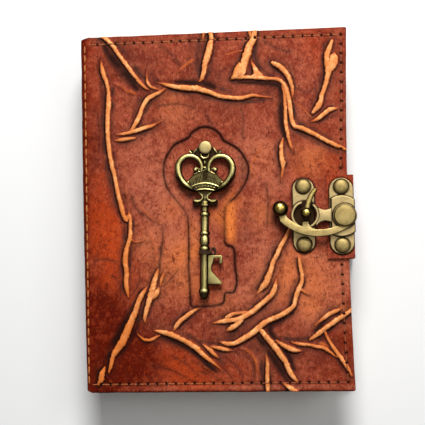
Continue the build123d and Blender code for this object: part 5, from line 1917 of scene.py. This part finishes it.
def crown():
    shell = [(1.0, -10.2), (3.0, -11.6), (5.8, -13.2), (9.1, -16.6)]
    shell += [(8.8, -17.8), (7.2, -19.2), (5.2, -21.1)]
    shapes = [sheet(shell + both_sides(shell)[1], -0.9, -0.5)]
    panel = [(0.95, -12.6), (1.4, -11.2), (3.0, -12.0), (5.6, -13.5), (8.8, -16.8)]
    panel += [(7.0, -18.9), (3.6, -18.0), (0.02, -17.7), (0.02, -16.4), (0.95, -15.9)]
    shapes += [sheet(half, -0.6, -0.28) for half in both_sides(panel)]
    upper = crown_line(-17.6, 7.2, 2.0)
    lower = crown_line(-20.5, 4.9, 0.85)
    shapes.append(sheet(upper + lower[::-1], -0.6, -0.2))
    shapes += [stroke(upper, 0.5, 0.48), stroke(lower, 0.45, 0.42)]
    for across in np.linspace(-4.5, 4.5, 7):
        shapes.append(ball((across, -19.05 - 0.035 * across**2, 0.12), 0.5, 6))
    for number in (-5, -4, -3, -2, -1, 1, 2, 3, 4, 5):
        top, foot = 1.3 * number, 1.5 * number
        fall = 0.03 * foot**2
        shapes.append(stroke([(foot, -17.1 - fall), (0.5 * (top + foot), -15.5 - fall)], 0.1, 0.45, 1))
        if abs(number) < 5:
            shapes.append(stroke([(top, -15.0 - fall), (1.1 * number, -13.6 - fall)], 0.0, 0.4, 1))
    oval = []
    for a in np.linspace(0, 6.28, 16):
        oval.append((-1.5 + 1.9 * math.cos(a), -10.9 + 0.9 * math.sin(a) + 0.6 * math.cos(a)))
    shapes.append(stroke(oval, 0.35, 0.32))
    shapes.append(stroke([(-3.2, -11.6), (-4.2, -12.7), (-6.0, -13.2)], 0.35, 0.34))
    shapes.append(stroke([(0.5, -10.1), (1.9, -11.0), (3.2, -12.4), (5.0, -13.0)], 0.35, 0.34))
    for side in (-1, 1):
        shapes.append(stroke([(side * 1.1, -12.4), (side * 1.15, -15.9)], 0.2, 0.24))
        shapes.append(ball((side * 8.4, -17.1, 0.0), 0.85, 8))
        shapes.append(stroke([(side * 2.9, -10.7), (side * 4.1, -10.3), (side * 5.1, -9.7)], 0.2, 0.6, 3))
        shapes.append(ball((side * 4.9, -10.9, -0.6), 1.35, 10))
    shapes.append(stroke([(0, -15.9), (0, -17.4)], 0.3, 0.25))
    return shapes


def key_head():
    shapes = [plate(arc((0, 0), 3.1, 0, 360, 40)[:-1], -0.8, 0.8, SHEET_ROUND)]
    leaf = [(2.0, -0.4), (3.9, 0.0), (5.2, -1.4), (8.1, -0.9)]
    leaf += [(7.6, -2.4), (6.2, -3.6), (3.4, -4.6), (1.6, -3.4)]
    shapes += [sheet(outline, -0.9, -0.4) for outline in both_sides(leaf)]
    for line in ([(3.8, 0.2), (4.7, -1.2), (6.2, -3.0)], [(8.0, -1.2), (7.4, -2.2), (6.4, -3.1)]):
        shapes += [stroke(side, 0.1, 0.55) for side in both_sides(line)]
    cup = [(-2.3, -2.9), (-2.1, -4.4), (-1.0, -5.2), (0.6, -5.2), (1.6, -4.4), (1.8, -2.9)]
    shapes.append(stroke(cup, 0.4, 0.5))
    stem = [(-1.5, -2.4), (-1.5, -11.4), (1.5, -11.4), (1.5, -2.4)]
    shapes.append(sheet(stem, -0.9, -0.5))
    shapes.append(stroke([(-0.3, -6.3), (-0.25, -7.2), (-0.2, -8.4)], 0.3, 0.6))
    return shapes


def key_neck():
    arm = [(3.5, -21.9), (2.2, -22.7), (1.35, -23.6), (1.05, -24.7)]
    arm += [(1.7, -25.9), (3.2, -26.5), (4.7, -26.4), (5.6, -25.7)]
    radii = [0.65] * 4 + [0.7, 0.9, 0.95, 0.7]
    shapes = [rod([Vector((side * x, y, 0.3)) for x, y in arm], radii, 3) for side in (1, -1)]
    middle = [(-2.6, -21.2), (-0.9, -23.8), (-2.2, -27.2), (2.2, -27.2), (0.9, -23.8), (2.6, -21.2)]
    shapes.append(sheet(middle, -1.0, -0.4))
    base = [(6.2, -26.0), (6.2, -27.6), (4.2, -28.9), (1.6, -28.6)]
    shapes.append(plate(base + both_sides(base)[1], -1.9, -0.9, 0.3, 1))
    shapes.append(stroke([(0, -22.4), (0, -24.6), (0, -26.6)], 0.15, 0.5))
    return shapes


def key_shaft():
    bm = turned(SHAFT, (0, 0, 0), 28)
    bm.transform(Matrix.Rotation(-math.pi / 2, 4, "X"))
    return bm


def key_bit():
    return plate([(x, y - BIT_DROP) for x, y in BIT[::-1]], -0.8, 0.8, 0.3)


def key_shade(u, v, w):
    """Painted shade on the key: black on the bow's flanks, under the head, on the shaft's sides and in its
    grooves, and on the tip; the bit is a little darker, its own greyer tone.
    """
    outer = np.hypot(abs(u) - BOW_FLANK[0], v - BOW_FLANK[1]) - BOW_FLANK_RADIUS
    on_bow = v > BOW_FOOT
    around = np.hypot(u, w)
    on_shaft = (v < SHAFT_TOP) & (around < SHAFT_REACH)
    layers = [
        (abs(outer) < 1.55) * (w < 0.42) * soft_step(v, -18.4, -19.4) * on_bow,
        (abs(outer) < 1.8) * soft_step(outer, -0.2, 0.5) * soft_step(v, -11.0, -15.5) * on_bow,
        (v > -5.0) & (w < -0.3),
        on_shaft * soft_step(w / np.maximum(around, 0.1), 0.86, 0.62),
        0.85 * soft_step(v, -70.9, -71.4),
        0.3 * (u > SHAFT_REACH) * (v < -52),
    ]
    layers += [on_shaft * 0.85 * bell(v - groove, 0.35) for groove in SHAFT_GROOVES]
    return np.max(layers, axis=0)


def key():
    shapes = [bow_loop(-1), bow_loop(1), key_shaft(), key_bit()] + crown() + key_head() + key_neck()
    whole = joined(shapes)
    whole.transform(KEY_PLACE)
    piece = finish_piece(whole, "key_cast", KEY_BRONZE, "front_cover", ["key"])
    back = KEY_PLACE.inverted()
    # Painted shade on the key, and the bit's greyer tone
    set_masks(piece, {"painted_shade_and_tone": key_shade(*np.array([(back @ (p.co / MM))[:] for p in piece.data.vertices]).T)})
    dome = turned(KEY_RIVET_DOME, (*KEY_RIVET, KEY_RIVET_SEAT))
    bronze_piece(dome, "key_rivet_dome", "front_cover", "key_rivet", RIVET_PALE)


def key_tie():
    legs = [(-TIE_SPREAD, TIE_FOOT), (-TIE_SPREAD, 0)]
    over = [(TIE_SPREAD * math.cos(a), TIE_SPREAD * math.sin(a)) for a in np.linspace(2.8, 0.3, 9)]
    section = legs + over + both_sides(legs)[1]
    paths = [[Vector((x, along, z)) for x, z in section] for along in TIE_TURNS]
    x, y, z = TIE_LOOP
    wide, tall, twist = TIE_LOOP_SIZE
    loop = []
    for a in np.linspace(0, math.tau, 17):
        loop.append(Vector((x + wide * math.cos(a), y + tall * math.sin(a), z + twist * math.sin(2 * a))))
    paths.append(loop)
    whole = joined([rod(path, [CORD_RADIUS] * len(path), 3) for path in paths])
    whole.transform(KEY_PLACE)
    finish_piece(whole, "key_tie_cord", DARK_CORD, "front_cover", ["key_tie"])


# CAD nodes that stay in view

CARRIED_OVER = {
    EDGE_BOARD: ["back_board", "front_board"],
    LINING_PAPER: ["back_lining", "front_lining", "spine_lining"],
    SEWING_LINEN: ["sewing_thread"],
    STEEL: ["catch_post_cap", "catch_rivet_caps", "key_rivet_cap", "hinge_rivet_caps"],
}


def carry_over():
    """Give the CAD nodes that stay in view their finishes."""
    for finish, names in CARRIED_OVER.items():
        for name in names:
            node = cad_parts[name]
            node.data.materials.clear()
            node.data.materials.append(finish.material)


front_hide()
back_hide()
fold_hide(True)
fold_hide(False)
front_stitches("front_stitches", (("top", 0, None), ("bottom", 0, PALE_HOLES)), STITCH_THREAD)
front_stitches("fore_stitches", (("fore", 0, None), ("bottom", PALE_HOLES - 1, None)), RED_THREAD)
fold_stitches()
back_stitches()
for number in range(1, GATHERINGS + 1):
    gathering(number)
strap()
catch()
hinge()
eye_flap()
lever()
key()
key_tie()
carry_over()

# Camera, lamps and floor

CLIP = (0.01, 20.0)
# Lamps: place and size in metres, power
LAMPS = {
    "window": ((0.1, 0.72, 0.72), 0.5, 16.5),
    "side": ((0.6, 0.25, 0.7), 0.4, 1.6),
    "overhead": ((0.06, 0.02, 0.8), 0.36, 0.9),
}
LAMP_TARGET = Vector((0, 0, 0.02))
SKY = (1.0, 0.985, 0.965, 1.0)
SKY_STRENGTH = 0.12
FLOOR_GREY = (0.7, 0.7, 0.695)
FLOOR_SIZE = 3000
FLOOR_DROP = 0.05
WHITE = (1.0, 1.0, 1.0)
WHITE_SHARE = 0.03


def camera():
    data = bpy.data.cameras.new("photo_camera")
    data.lens = LENS
    data.sensor_width = SENSOR
    data.clip_start, data.clip_end = CLIP
    eye = bpy.data.objects.new("photo_camera", data)
    eye.location = VIEW_AT * MM
    eye.rotation_euler = VIEW_TURN
    bpy.context.scene.collection.objects.link(eye)
    bpy.context.scene.camera = eye


def soft_lamp(name, place, size, power):
    data = bpy.data.lights.new(name, "AREA")
    data.shape = "DISK"
    data.size = size
    data.energy = power
    lamp = bpy.data.objects.new(name, data)
    lamp.location = place
    lamp.rotation_euler = (LAMP_TARGET - Vector(place)).to_track_quat("-Z", "Y").to_euler()
    bpy.context.scene.collection.objects.link(lamp)


def white_where_seen(finish, share):
    """A surface that is lit as a pale one and looks nearer to white to the camera and in reflections."""
    kinds = ("Is Camera Ray", "Is Glossy Ray", "Is Transmission Ray")
    direct, glossy, clear = [finish.add("ShaderNodeLightPath", output=kind) for kind in kinds]
    share = finish.math("MAXIMUM", finish.math("MAXIMUM", direct, glossy), clear) * share
    lit = Value(finish, finish.shader.outputs[0])
    bright = finish.add("ShaderNodeEmission", None, {"Color": WHITE, "Strength": 1.0})
    mixed = finish.add("ShaderNodeMixShader", None, {0: share, 1: lit, 2: bright})
    finish.feed(finish.tree.nodes["Material Output"].inputs["Surface"], mixed)


def studio():
    floor_finish = Finish("pale_floor", Roughness=0.9, Specular_IOR_Level=0.1)
    floor_finish.surface(Base_Color=FLOOR_GREY)
    white_where_seen(floor_finish, WHITE_SHARE)
    bm = bmesh.new()
    bmesh.ops.create_grid(bm, x_segments=2, y_segments=2, size=FLOOR_SIZE)
    bmesh.ops.translate(bm, vec=(0, 0, -FLOOR_DROP), verts=bm.verts)
    floor = finish_piece(bm, "floor", floor_finish)
    world = bpy.data.worlds.new("studio")
    world.use_nodes = True
    background = world.node_tree.nodes["Background"]
    background.inputs["Color"].default_value = SKY
    background.inputs["Strength"].default_value = SKY_STRENGTH
    bpy.context.scene.world = world
    for name, lamp in LAMPS.items():
        soft_lamp(name, *lamp)


camera()
studio()
bpy.context.scene.view_settings.view_transform = "Standard"
